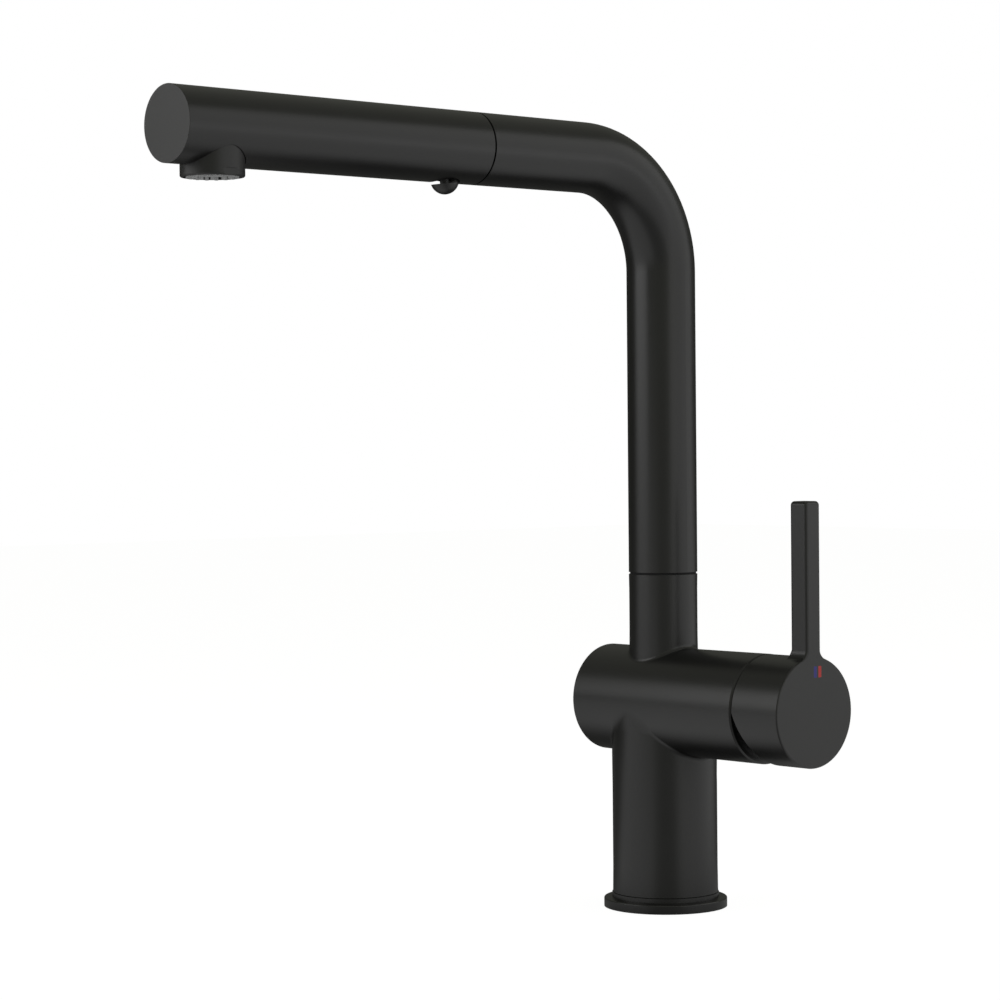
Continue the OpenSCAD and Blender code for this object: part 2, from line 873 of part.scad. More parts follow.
// The rocker is drawn level about its pivot, then tilted to the jet position
module toggle_rocker() {
    boss_w = 8.8;
    boss_r = 2.3;
    neck_r = 1.9;
    finger_w = 2.4;
    color(black)
        translate([0, -toggle_y, toggle_z])
            rotate([toggle_tilt, 0, 0])
                difference() {
                    union() {
                        toggle_button();
                        translate([0, 0, -toggle_top - past]) cylinder(r = neck_r, h = toggle_top + past);
                        cross_bar(boss_r, boss_w);
                        translate([-finger_w / 2, -0.5, 0]) cube([finger_w, 1, finger_arm]);
                        cross_bar(finger_r, finger_w, 0, finger_arm);
                    }
                    cross_bar(toggle_pin_r + running, 2 * boss_w);
                }
}

module toggle_pin() {
    length = 12.4;
    color(steel)
        translate([-length / 2, -toggle_y, toggle_z])
            rotate([0, 90, 0])
                cylinder(r = toggle_pin_r, h = length);
}

// ---- Outlet ----

// A solid turned about the outlet's upright axis, from an outline of [radius, height] points
module turned_outlet(outline) {
    translate([0, -outlet_y, 0]) rotate_extrude() polygon(outline);
}

// The outlet unscrews with a spanner on two flats, left and right at its rim.
module outlet_housing() {
    neck_bore_r = 7.6;
    edge = 0.6;
    groove = 0.6;
    flat_depth = 0.4;
    flat_height = 2.6;
    cutter_x = outlet_r - flat_depth / 2 + past / 2;
    cutter_z = outlet_rim_z + flat_height / 2 - past / 2;
    color(black) difference() {
        turned_outlet(concat(
            [[face_r, outlet_rim_z]],
            arc([outlet_r - edge, outlet_rim_z + edge], edge, -90, 0, 4),
            [
                [outlet_r, outlet_step_z],
                [outlet_neck_r, outlet_step_z], [outlet_neck_r, outlet_ring_z - groove],
                [outlet_ring_r, outlet_ring_z - groove], [outlet_ring_r, outlet_ring_z + groove],
                [outlet_neck_r, outlet_ring_z + groove], [outlet_neck_r, outlet_neck_z - 0.1],
                [neck_bore_r, outlet_neck_z - 0.1], [neck_bore_r, plate_z + 1.6], [face_r, plate_z + 1.6]
            ]
        ));
        for (side = [-1, 1])
            translate([side * cutter_x, -outlet_y, cutter_z])
                cube([flat_depth + past, outlet_r, flat_height + past], center = true);
    }
}

module outlet_o_ring() {
    section_r = 0.53;
    color(seal_black)
        translate([0, -outlet_y, outlet_ring_z])
            rotate_extrude()
                translate([outlet_ring_r + section_r, 0])
                    circle(r = section_r);
}

// Rings of holes or nozzles about the outlet's axis: [radius, count]
nozzle_rings = [[6.6, 10], [8.9, 16]];

module on_nozzle_rings() {
    for (ring = nozzle_rings)
        for (i = [0:ring[1] - 1])
            translate([0, -outlet_y, 0])
                rotate([0, 0, i * 360 / ring[1]])
                    translate([ring[0], 0, 0])
                        children();
}

module spray_plate() {
    color(dark_plastic) difference() {
        turned_outlet([
            [aerator_r + fitted, mat_z], [aerator_r + 1, mat_z], [aerator_r + 1, plate_z],
            [face_r - fitted, plate_z], [face_r - fitted, plate_z + 1.6], [aerator_r + 1, plate_z + 1.6],
            [aerator_r + 1, outlet_neck_z - 0.2], [aerator_r + fitted, outlet_neck_z - 0.2]
        ]);
        on_nozzle_rings() translate([0, 0, plate_z - past]) cylinder(r = 0.5, h = 2 * past + 1.6);
    }
}

module nozzle_mat() {
    nozzle_r = 0.7;
    nozzle_h = 1.3;
    color(mat_grey) difference() {
        union() {
            turned_outlet([
                [aerator_r + 1 + fitted, mat_z], [face_r - fitted, mat_z], [face_r - fitted, plate_z],
                [aerator_r + 1 + fitted, plate_z]
            ]);
            on_nozzle_rings() translate([0, 0, mat_z - nozzle_h]) cylinder(r = nozzle_r, h = nozzle_h + 0.5);
        }
        on_nozzle_rings() translate([0, 0, mat_z - nozzle_h - past]) cylinder(r = 0.35, h = nozzle_h + 4);
    }
}

module aerator_core() {
    height = 7;
    pitch = 1.2;
    color(mat_grey) difference() {
        translate([0, -outlet_y, mat_z]) cylinder(r = aerator_r, h = height);
        for (x = [-2:2])
            for (y = [-2:2])
                translate([x * pitch, -outlet_y + y * pitch, mat_z - past])
                    cylinder(r = 0.4, h = height + 2 * past);
    }
}

base_flange();
base_seal();
mixer_body();
cartridge_base();
port_seals();
cartridge_housing();
fixed_disc();
moving_disc();
disc_carrier();
spindle_rotor();
spindle_pin();
spindle();
cartridge_nut();
cartridge_collar();
lever_handle();
lever_grub_screw();
lever_screw_plug();
cold_mark();
hot_mark();
thrust_washer();
spout_foot();
swivel_bushes();
swivel_o_ring();
swivel_screw();
spout_tube();
dock_socket();
hose_riser();
hose_lead();
hose_connector();
hose_washer();
head_shell();
waterway_insert();
dock_o_ring();
check_valve();
diverter_spool();
toggle_rocker();
toggle_pin();
outlet_housing();
outlet_o_ring();
spray_plate();
nozzle_mat();
aerator_core();
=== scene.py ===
"""Looks of a single-lever kitchen mixer tap with a pull-out spray head.

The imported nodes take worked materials. Three pieces are made here, where the real surface is softer than the
solids: the cast body with its rolled fillets, the lever with its rounded edges, and the braided hose."""
import json
import math

import bmesh
import bpy
import numpy as np
from mathutils import Matrix, Vector
from mathutils.geometry import delaunay_2d_cdt


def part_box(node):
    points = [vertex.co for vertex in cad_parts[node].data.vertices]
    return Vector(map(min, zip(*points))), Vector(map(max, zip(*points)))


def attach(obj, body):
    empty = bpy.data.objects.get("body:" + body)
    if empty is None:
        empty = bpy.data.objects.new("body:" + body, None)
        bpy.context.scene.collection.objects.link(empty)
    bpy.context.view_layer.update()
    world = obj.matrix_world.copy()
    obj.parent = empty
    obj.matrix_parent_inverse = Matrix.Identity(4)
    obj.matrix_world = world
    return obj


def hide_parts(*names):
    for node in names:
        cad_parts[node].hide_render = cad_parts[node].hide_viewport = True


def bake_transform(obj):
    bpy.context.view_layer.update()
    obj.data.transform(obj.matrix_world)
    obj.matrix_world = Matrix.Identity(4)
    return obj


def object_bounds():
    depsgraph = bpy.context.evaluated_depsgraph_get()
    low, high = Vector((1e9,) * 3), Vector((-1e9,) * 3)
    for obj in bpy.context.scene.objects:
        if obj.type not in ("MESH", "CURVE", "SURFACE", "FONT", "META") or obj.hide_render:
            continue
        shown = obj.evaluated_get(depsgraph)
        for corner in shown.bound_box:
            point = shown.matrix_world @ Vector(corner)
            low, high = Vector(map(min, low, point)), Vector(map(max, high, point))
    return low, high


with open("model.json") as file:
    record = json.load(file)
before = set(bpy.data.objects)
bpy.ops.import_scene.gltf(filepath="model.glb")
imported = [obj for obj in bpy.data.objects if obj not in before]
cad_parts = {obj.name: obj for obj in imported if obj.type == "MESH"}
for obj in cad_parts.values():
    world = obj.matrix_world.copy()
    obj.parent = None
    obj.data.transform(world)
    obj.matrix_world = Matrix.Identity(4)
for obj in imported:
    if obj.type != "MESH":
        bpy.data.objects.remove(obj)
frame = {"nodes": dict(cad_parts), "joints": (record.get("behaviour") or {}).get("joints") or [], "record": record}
cad_low, cad_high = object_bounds()

MM = 0.001


# ---- places, from the frame
def low(node):
    return np.array(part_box(node)[0])


def high(node):
    return np.array(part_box(node)[1])


def middle(node):
    return (low(node) + high(node)) / 2


def farthest(name):
    """How far a sliding joint travels, in metres."""
    return next(entry for entry in frame["joints"] if entry["name"] == name)["range_m"][1]


def link(thing):
    bpy.context.scene.collection.objects.link(thing)


# ---- shader helpers
class Tree:
    """A node tree with short calls for adding nodes, joining sockets and chaining maths."""

    def __init__(self, tree):
        self.tree = tree

    def add(self, kind, **values):
        node = self.tree.nodes.new(kind)
        for key, value in values.items():
            setattr(node, key, value)
        return node

    def join(self, source, target):
        self.tree.links.new(source, target)

    def feed(self, socket, value):
        """Joins a socket, or sets a constant."""
        if isinstance(value, bpy.types.NodeSocket):
            self.join(value, socket)
        else:
            socket.default_value = value

    def math(self, operation, a, b=0.0, clamp=False):
        node = self.add("ShaderNodeMath", operation=operation, use_clamp=clamp)
        self.feed(node.inputs[0], a)
        self.feed(node.inputs[1], b)
        return node.outputs[0]

    def noise(self, coords, scale, detail=2.0, roughness=0.5):
        """Values about 0.5 that vary over the coordinates; the scale is in cycles per metre."""
        node = self.add("ShaderNodeTexNoise")
        self.join(coords, node.inputs["Vector"])
        self.feed(node.inputs["Scale"], scale)
        node.inputs["Detail"].default_value = detail
        node.inputs["Roughness"].default_value = roughness
        return node.outputs["Fac"]

    def stretched(self, coords, factors):
        node = self.add("ShaderNodeVectorMath", operation="MULTIPLY")
        self.join(coords, node.inputs[0])
        self.feed(node.inputs[1], factors)
        return node.outputs[0]

    def plus(self, a, b):
        return self.math("ADD", a, b)

    def times(self, a, b):
        return self.math("MULTIPLY", a, b)

    def minus(self, a, b):
        return self.math("SUBTRACT", a, b)

    def around(self, value, spread, centre):
        """A value about 0.5 moved to a centre: centre + (value - 0.5) * spread."""
        return self.plus(self.times(self.minus(value, 0.5), spread), centre)

    def tint(self, colour, factor):
        """The colour made lighter or darker by a factor."""
        node = self.add("ShaderNodeVectorMath", operation="SCALE")
        self.feed(node.inputs[0], colour)
        self.feed(node.inputs["Scale"], factor)
        return node.outputs[0]

    def bump(self, height, distance, normal=None):
        node = self.add("ShaderNodeBump")
        self.join(height, node.inputs["Height"])
        self.feed(node.inputs["Distance"], distance)
        if normal is not None:
            self.join(normal, node.inputs["Normal"])
        return node.outputs["Normal"]


def empty_tree(owner):
    """The node tree of a material or a world, emptied."""
    owner.use_nodes = True
    owner.node_tree.nodes.clear()
    return Tree(owner.node_tree)


def object_coords(tree):
    return tree.add("ShaderNodeTexCoord").outputs["Object"]


DARK = (0.02, 0.02, 0.021, 1.0)
NUMBER, VECTOR, COLOUR = ("NodeSocketFloat", "NodeSocketVector", "NodeSocketColor")
SOCKETS = {1: NUMBER, 3: VECTOR, 4: COLOUR}


def effect(name, **settings):
    """A shader node group from a colour and settings to a colour, a roughness and a normal.

    Returns its tree, the sockets of what is given, and its output node."""
    group = bpy.data.node_groups.new(name, "ShaderNodeTree")
    for label, default in {"Colour": DARK, **settings}.items():
        socket = group.interface.new_socket(label, in_out="INPUT", socket_type=SOCKETS[np.size(default)])
        socket.default_value = default
    for label, kind in (("Colour", COLOUR), ("Roughness", NUMBER), ("Normal", VECTOR)):
        group.interface.new_socket(label, in_out="OUTPUT", socket_type=kind)
    tree = Tree(group)
    return tree, tree.add("NodeGroupInput").outputs, tree.add("NodeGroupOutput")


def finished(tree, given, out, shade, rough, normal):
    """The group, once it puts out its colour in a lighter or darker shade, a roughness and a normal."""
    tree.join(tree.tint(given["Colour"], shade), out.inputs["Colour"])
    tree.join(rough, out.inputs["Roughness"])
    tree.join(normal, out.inputs["Normal"])
    return tree.tree


# Sprayed coat: cycles per metre of its orange peel, its tooth and its patches, and heights of the first two
PEEL_SCALE = 700.0
TOOTH_SCALE = 5200.0
PATCH_SCALE = 38.0
PEEL_HEIGHT = 7e-6
TOOTH_HEIGHT = 1e-6

# Moulded surfaces: the same for their grain, and for flow marks, which are longer along the part
GRAIN_SCALE = 2600.0
FLOW_SCALES = (90.0, 90.0, 30.0)
GRAIN_HEIGHT = 5e-6

# Turned metal: the same for its rings along the axis, and for its tarnish
RING_SCALES = (20.0, 20.0, 4000.0)
RING_HEIGHT = 3e-6
TARNISH_SCALE = 120.0

# Braid: strands of each family round the hose, threads in a strand, their share of the relief, and its height
STRANDS = 24.0
THREADS = 5
THREAD_PART = 0.06
WEAVE_HEIGHT = 2.5e-4


def coat_effect():
    """A sprayed satin coat: orange peel, a fine tooth, and patches a little rougher than the rest."""
    tree, given, out = effect("SatinCoat", Roughness=0.4, Peel=1.0)
    coords = object_coords(tree)
    peel = tree.noise(coords, PEEL_SCALE, detail=3.0)
    tooth = tree.noise(coords, TOOTH_SCALE)
    patches = tree.noise(coords, PATCH_SCALE, detail=4.0, roughness=0.6)
    shade = tree.around(patches, spread=0.35, centre=1.0)
    rough = tree.around(patches, spread=0.08, centre=given["Roughness"])
    rough = tree.around(tooth, spread=0.05, centre=rough)
    waves = tree.bump(peel, tree.times(given["Peel"], PEEL_HEIGHT))
    fine = tree.bump(tooth, tree.times(given["Peel"], TOOTH_HEIGHT), waves)
    return finished(tree, given, out, shade, rough, fine)


def moulded_effect():
    """Moulded plastic or rubber: a soft grain and faint flow marks."""
    tree, given, out = effect("Moulded", Roughness=0.5, Grain=1.0)
    coords = object_coords(tree)
    grain = tree.noise(coords, GRAIN_SCALE, detail=3.0, roughness=0.6)
    flow = tree.noise(tree.stretched(coords, FLOW_SCALES), 1.0, detail=3.0)
    shade = tree.around(flow, spread=0.3, centre=1.0)
    rough = tree.around(flow, spread=0.12, centre=given["Roughness"])
    rough = tree.around(grain, spread=0.1, centre=rough)
    height = tree.times(given["Grain"], GRAIN_HEIGHT)
    return finished(tree, given, out, shade, rough, tree.bump(grain, height))


def turned_effect():
    """Metal off the lathe: fine rings along the part's axis, with tarnish in soft patches."""
    tree, given, out = effect("Turned", Roughness=0.3, Rings=RING_SCALES)
    coords = object_coords(tree)
    rings = tree.noise(tree.stretched(coords, given["Rings"]), 1.0)
    tarnish = tree.noise(coords, TARNISH_SCALE, detail=4.0, roughness=0.6)
    shade = tree.around(tarnish, spread=0.4, centre=0.95)
    rough = tree.around(tarnish, spread=0.18, centre=given["Roughness"])
    rough = tree.around(rings, spread=0.12, centre=rough)
    return finished(tree, given, out, shade, rough, tree.bump(rings, RING_HEIGHT))


def braid_effect():
    """Plain-woven nylon braid, on a map that counts turns of the hose's girth both ways.

    Two families of strands lean against each other and take turns to lie on top."""
    tree, given, out = effect("Braid", Map=(0.0, 0.0, 0.0), Strands=STRANDS)
    place = tree.add("ShaderNodeSeparateXYZ")
    tree.join(given["Map"], place.inputs[0])
    round_it, along_it = place.outputs["X"], place.outputs["Y"]
    families = []
    for lean in ("ADD", "SUBTRACT"):
        count = tree.times(tree.math(lean, round_it, along_it), given["Strands"])
        whole = tree.math("FLOOR", count)
        side = tree.minus(tree.times(tree.math("FRACT", count), 2.0), 1.0)
        crown = tree.minus(1.0, tree.times(side, side))
        threads = tree.math("SINE", tree.times(count, 2 * THREADS * math.pi))
        families.append((whole, crown, threads))
    (first, first_crown, first_threads), (second, second_crown, second_threads) = families
    under = tree.math("PINGPONG", tree.plus(first, second), 1.0)
    over = tree.minus(1.0, under)

    def chosen(a, b):
        return tree.plus(tree.times(over, a), tree.times(under, b))

    width = chosen(first_crown, second_crown)
    bulge = chosen(second_crown, first_crown)
    strand = chosen(first, tree.plus(second, 0.5))
    shade = tree.add("ShaderNodeTexWhiteNoise", noise_dimensions="1D")
    tree.join(strand, shade.inputs["W"])
    lift = tree.times(tree.math("SQRT", width), tree.around(bulge, spread=0.7, centre=0.65))
    own = tree.around(shade.outputs["Value"], spread=0.3, centre=0.85)
    # Painted shade: each strand's own tone is made darker where the weave's relief is low, down the strands' sides
    # and in the gaps between them
    bright = tree.times(own, tree.around(lift, spread=0.9, centre=0.7))
    rough = tree.around(lift, spread=-0.25, centre=0.5)
    ribs = tree.times(chosen(first_threads, second_threads), THREAD_PART)
    return finished(tree, given, out, bright, rough, tree.bump(tree.plus(lift, ribs), WEAVE_HEIGHT))


# ---- materials, one per slot of the record
COLOURS = {entry["slot"]: (*entry["base_color"], 1.0) for entry in frame["record"]["materials"]}
COAT = coat_effect()
MOULDED = moulded_effect()
TURNED = turned_effect()
BRAID = braid_effect()


PLAIN = {}
METAL = {"Metallic": 1.0}
DULL = {"Specular IOR Level": 0.25}


def surface(slot, group, settings, shader=PLAIN):
    """A material for a slot: the slot's colour through an effect group into a surface shader."""
    material = bpy.data.materials.new("finish_" + slot)
    material.diffuse_color = COLOURS[slot]
    tree = empty_tree(material)
    look = tree.add("ShaderNodeGroup", node_tree=group)
    look.inputs["Colour"].default_value = COLOURS[slot]
    for label, value in settings.items():
        look.inputs[label].default_value = value
    principled = tree.add("ShaderNodeBsdfPrincipled")
    for label, value in shader.items():
        principled.inputs[label].default_value = value
    for source, target in (("Colour", "Base Color"), ("Roughness", "Roughness"), ("Normal", "Normal")):
        tree.join(look.outputs[source], principled.inputs[target])
    tree.join(principled.outputs[0], tree.add("ShaderNodeOutputMaterial").inputs["Surface"])
    return material


# Each slot's effect with its settings, and settings of the surface shader
FINISHES = {
    "satin_black": (COAT, {"Roughness": 0.33}),
    "cap_black": (COAT, {"Roughness": 0.33}),
    "trim_black": (MOULDED, {"Roughness": 0.45, "Grain": 0.6}),
    "inner_plastic": (MOULDED, {"Roughness": 0.5}),
    "grey_plastic": (MOULDED, {"Roughness": 0.45}),
    "nozzle_silicone": (MOULDED, {"Roughness": 0.6, "Grain": 1.5}),
    "seal_rubber": (MOULDED, {"Roughness": 0.8, "Grain": 1.5}, DULL),
    "brass_parts": (TURNED, {"Roughness": 0.3}, METAL),
    "steel_parts": (TURNED, {"Roughness": 0.28}, METAL),
    "ceramic_discs": (MOULDED, {"Roughness": 0.22, "Grain": 0.2}),
    "cold_blue": (COAT, {"Roughness": 0.35, "Peel": 2.0}),
    "hot_red": (COAT, {"Roughness": 0.35, "Peel": 2.0}),
    "hose_braid": (BRAID, {}),
}
MATERIALS = {slot: surface(slot, *finish) for slot, finish in FINISHES.items()}


def put_on_map(material, name):
    """Feeds a named map of the piece to its material's effect."""
    tree = Tree(material.node_tree)
    look = next(node for node in tree.tree.nodes if node.type == "GROUP")
    tree.join(tree.add("ShaderNodeUVMap", uv_map=name).outputs["UV"], look.inputs["Map"])


put_on_map(MATERIALS["hose_braid"], "braid")


def finish_cad_nodes():
    """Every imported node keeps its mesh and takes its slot's material."""
    for node in frame["nodes"].values():
        for slot in node.material_slots:
            slot.material = MATERIALS[slot.material.name]


# ---- surfaces with exact normals
ORIGIN = np.zeros(3)
ALONG = np.array((1.0, 0.0, 0.0))
UPRIGHT = np.array((0.0, 0.0, 1.0))
SPOKES = 144
TURNS = np.linspace(0.0, 2 * math.pi, SPOKES + 1)
# Small holes have one spoke in six of a full turn, the ports underneath one in four
HOLE_TURNS = TURNS[:-1:6]
UNDER_TURNS = TURNS[::4]
# Points that agree to a ten-thousandth of a millimetre share a vertex
VERTEX_GRID = 1e4
# Flat regions: how near two points are one, and how far inner points keep from those of the edges
SAME_POINT = 1e-7
EDGE_ROOM = 0.6


class Shell:
    """Collects the faces of a closed surface in millimetres, with the true normal at every corner."""

    def __init__(self):
        self.index = {}
        self.points = []
        self.faces = []
        self.normals = []

    def vertex(self, point):
        key = tuple(int(round(c * VERTEX_GRID)) for c in point)
        if key not in self.index:
            self.index[key] = len(self.points)
            self.points.append(tuple(point))
        return self.index[key]

    def face(self, corners):
        """A face from (point, normal) corners, turned so that it looks the way its normals do."""
        kept = {}
        for point, normal in corners:
            kept.setdefault(self.vertex(point), normal)
        if len(kept) < 3:
            return
        places = [np.array(self.points[vertex]) for vertex in kept]
        facing = sum(np.cross(a, b) for a, b in zip(places, places[1:] + places[:1]))
        way_round = -1 if np.dot(facing, sum(kept.values())) < 0 else 1
        self.faces.append(list(kept)[::way_round])
        self.normals.extend(list(kept.values())[::way_round])

    def strip(self, rows, normals):
        """Quads between rows of points; normals holds a row of directions for each row of points."""
        corners = [list(zip(row, directions)) for row, directions in zip(rows, normals)]
        for a, b in zip(corners, corners[1:]):
            for i in range(len(a) - 1):
                self.face([a[i], a[i + 1], b[i + 1], b[i]])

    def turned(self, centre, axis, outline, leans=None, turns=TURNS):
        """Bands turned about an upright or a level axis, through pairs of (distance along, radius).

        They look to the left of the outline's way, crisply, or smoothly along leans given at its points."""
        out = ALONG if axis is UPRIGHT else UPRIGHT
        side = np.cross(axis, out)
        spokes = [out * math.cos(t) + side * math.sin(t) for t in turns]
        for i in range(len(outline) - 1):
            (d0, r0), (d1, r1) = outline[i:i + 2]
            length = math.hypot(d1 - d0, r1 - r0)
            crisp = ((r0 - r1) / length, (d1 - d0) / length)
            pair = leans[i:i + 2] if leans else (crisp, crisp)
            rows = []
            normals = []
            for (d, r), lean in zip(outline[i:i + 2], pair):
                rows.append([centre + axis * d + spoke * r for spoke in spokes])
                normals.append([axis * lean[0] + spoke * lean[1] for spoke in spokes])
            self.strip(rows, normals)

    def patch(self, loops, inner, place):
        """Triangles over a flat region inside the first loop and outside the others.

        Inner points take part where they keep clear of the edges. place(uv) gives a point and its normal."""
        flat = []
        edges = []
        for loop in loops:
            first = len(flat)
            flat.extend(loop)
            edges.extend((first + i, first + (i + 1) % len(loop)) for i in range(len(loop)))
        for point in inner:
            if inside_region(point, loops) and distance_to(point, loops) > EDGE_ROOM:
                flat.append(tuple(point))
        made = delaunay_2d_cdt([Vector(p) for p in flat], edges, [], 0, SAME_POINT)
        vertices, triangles, sources = made[0], made[2], made[3]
        corners = [place(np.array(flat[source[0]] if source else tuple(vertex)))
                   for vertex, source in zip(vertices, sources)]
        for triangle in triangles:
            centre = sum(np.array(vertices[i]) for i in triangle) / 3
            if inside_region(centre, loops):
                self.face([corners[i] for i in triangle])

    def mesh(self, name):
        mesh = bpy.data.meshes.new(name)
        mesh.from_pydata([tuple(c * MM for c in point) for point in self.points], [], self.faces)
        mesh.shade_smooth()
        mesh.normals_split_custom_set([tuple(n / np.linalg.norm(n)) for n in self.normals])
        return mesh


def smooth_step(value):
    """A smooth rise from 0 to 1, level at both ends."""
    value = min(max(value, 0.0), 1.0)
    return value * value * (3 - 2 * value)


def within(point, loop):
    """Whether a flat point is inside a closed loop."""
    loop = np.asarray(loop)
    following = np.roll(loop, -1, axis=0)
    crosses = (loop[:, 1] > point[1]) != (following[:, 1] > point[1])
    rise = np.where(crosses, following[:, 1] - loop[:, 1], 1.0)
    where = loop[:, 0] + (point[1] - loop[:, 1]) / rise * (following[:, 0] - loop[:, 0])
    return bool(np.sum(crosses & (point[0] < where)) % 2)


def inside_region(point, loops):
    """Whether a flat point is inside the first loop and outside the others."""
    return within(point, loops[0]) and not any(within(point, loop) for loop in loops[1:])


def distance_to(point, loops):
    """How far a flat point is from the nearest corner of the loops."""
    return min(np.min(np.hypot(*(np.array(loop) - point).T)) for loop in loops)


def piece(mesh, body, slot, *nodes):
    """A finished mesh as a piece on a body, in the finish of a slot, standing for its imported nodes."""
    thing = bpy.data.objects.new(mesh.name, mesh)
    link(thing)
    mesh.materials.append(MATERIALS[slot])
    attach(thing, body)
    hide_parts(*nodes)
    return thing


# ---- the cast body, in millimetres
BODY_LOW = low("mixer_body") / MM
BODY_HIGH = high("mixer_body") / MM
BARREL_R = BODY_HIGH[1]
BARREL_Z = middle("cartridge_housing")[2] / MM
BACK_X = BODY_LOW[0]
FACE_X = BODY_HIGH[0]
NECK_TOP = BODY_HIGH[2]
NECK_R = high("spout_tube")[0] / MM
COLUMN_R = 21.5
SPIGOT_R = 20.0
SPIGOT_Z = BODY_LOW[2]
COLUMN_FOOT = high("base_flange")[2] / MM
NECK_FILLET = (2.0, 2.0)
# The column's fillet opens out where its wall runs nearly flush into the barrel's, at the front and the back
COLUMN_FILLET = (2.0, 16.0)
FLUSH_FROM = 0.86
FILLET_STEPS = 8
BARREL_EDGE = 0.6
BARREL_RIM = 0.6
# The barrel's wall is laid flat from this angle on, clear of both openings, in so many rows along it
SEAM = math.radians(25)
BARREL_ROWS = 24
# The barrel's bore from its open face inwards: distance from the face, radius
BORE = (
    (-BARREL_RIM, BARREL_R), (0.0, BARREL_R - BARREL_RIM), (0.0, 19.8), (-1.2, 19.8), (-1.2, 19.0),
    (-9.3, 19.0), (-9.3, 17.7), (-35.8, 17.7), (-35.8, 0.0),
)
TOP_EDGE = 0.25
SOCKET_R = 12.0
SOCKET_DEPTH = 31.0
HOSE_PASSAGE_R = 8.5
SCREW_Z = middle("swivel_screw")[2] / MM
SCREW_HOLE_R = 2.52
# Blind holes in the underside, three for hoses and one for the stud: x, y, radius, depth
PORTS = [(x, y, 3.5, 12.0) for x, y in ((12.0, 9.4), (12.0, -9.4), (15.5, 0.0))]
UNDER_HOLES = (*PORTS, (-15.0, 0.0, 3.4, 18.0))


def fillet(radius, balls, side):
    """A ball rolled round an upright post against the barrel, above (side 1) or below (side -1) its axis.

    Its radius goes from balls[0] at the post's sides to balls[1] at its front and back. Returns rows of
    points round the fillet, from post to barrel, and their normals."""
    rows = [[] for _ in range(FILLET_STEPS + 1)]
    normals = [[] for _ in range(FILLET_STEPS + 1)]
    for turn in TURNS:
        out = np.array((math.cos(turn), math.sin(turn), 0.0))
        flush = smooth_step((abs(out[1]) - FLUSH_FROM) / (1 - FLUSH_FROM))
        ball = balls[0] + (balls[1] - balls[0]) * flush
        reach = BARREL_R + ball
        centre = out * (radius + ball)
        centre[2] = BARREL_Z + side * math.sqrt(reach**2 - centre[1] ** 2)
        to_barrel = np.array((0.0, -centre[1], BARREL_Z - centre[2])) / reach
        angle = math.acos(float(np.dot(-out, to_barrel)))
        for i in range(FILLET_STEPS + 1):
            t = i / FILLET_STEPS
            inward = (math.sin((1 - t) * angle) * -out + math.sin(t * angle) * to_barrel) / math.sin(angle)
            rows[i].append(centre + inward * ball)
            normals[i].append(-inward)
    return rows, normals


def on_barrel(uv):
    """A point of the barrel's wall, from its distance along and its arc length round."""
    angle = uv[1] / BARREL_R
    out = np.array((0.0, math.cos(angle), math.sin(angle)))
    return np.array((uv[0], 0.0, BARREL_Z)) + out * BARREL_R, out


def unrolled(points):
    """The barrel's wall laid flat: (along, arc length) of its points, with angles counted from the seam."""
    flat = []
    for point in points:
        angle = math.atan2(point[2] - BARREL_Z, point[1])
        flat.append((point[0], ((angle - SEAM) % (2 * math.pi) + SEAM) * BARREL_R))
    return flat


def screw_loop(radius):
    """Where the retaining screw's hole meets a post of a radius, at its back."""
    loop = []
    for turn in HOLE_TURNS:
        x = SCREW_HOLE_R * math.cos(turn)
        loop.append(np.array((x, math.sqrt(radius**2 - x**2), SCREW_Z + SCREW_HOLE_R * math.sin(turn))))
    return loop


def post_wall(shell, radius, bottom, top, inward, hole=None):
    """The wall of an upright post between two closed rows of points, with a hole in its back if given."""
    sign = -1.0 if inward else 1.0

    def place(uv):
        angle = uv[0] / radius
        out = np.array((math.cos(angle), math.sin(angle), 0.0))
        return out * radius + UPRIGHT * uv[1], out * sign

    widths = TURNS * radius
    heights = np.linspace(bottom[0][2], top[0][2], 6)[1:-1]
    loop = [(u, p[2]) for u, p in zip(widths, bottom)]
    loop += [(widths[-1], z) for z in heights]
    loop += [(u, p[2]) for u, p in zip(widths[::-1], top[::-1])]
    loop += [(0.0, z) for z in heights[::-1]]
    loops = [loop]
    if hole is not None:
        loops.append([(math.atan2(p[1], p[0]) * radius, p[2]) for p in hole])
    inner = [(u, z) for u in widths[3:-3:6] for z in heights]
    shell.patch(loops, inner, place)


def level_ring(radius, height):
    """A closed row of points round the upright axis."""
    return [np.array((radius * math.cos(t), radius * math.sin(t), height)) for t in TURNS]


def barrel_wall(shell, openings):
    """The barrel's wall with the openings of neck and column in it."""
    turns = TURNS + SEAM
    first = BACK_X + BARREL_EDGE
    last = FACE_X - BARREL_RIM
    alongs = np.linspace(first, last, BARREL_ROWS)
    loop = [(x, turns[0] * BARREL_R) for x in alongs[:-1]]
    loop += [(last, t * BARREL_R) for t in turns[:-1]]
    loop += [(x, turns[-1] * BARREL_R) for x in alongs[:0:-1]]
    loop += [(first, t * BARREL_R) for t in turns[:0:-1]]
    loops = [loop] + [unrolled(row[:-1]) for row in openings]
    inner = [(x, t * BARREL_R) for x in alongs[1:-1] for t in turns[2:-2:2]]
    shell.patch(loops, inner, on_barrel)


def quarter(steps=4):
    """Angles of a quarter turn in equal steps."""
    return [math.pi / 2 * i / steps for i in range(steps + 1)]


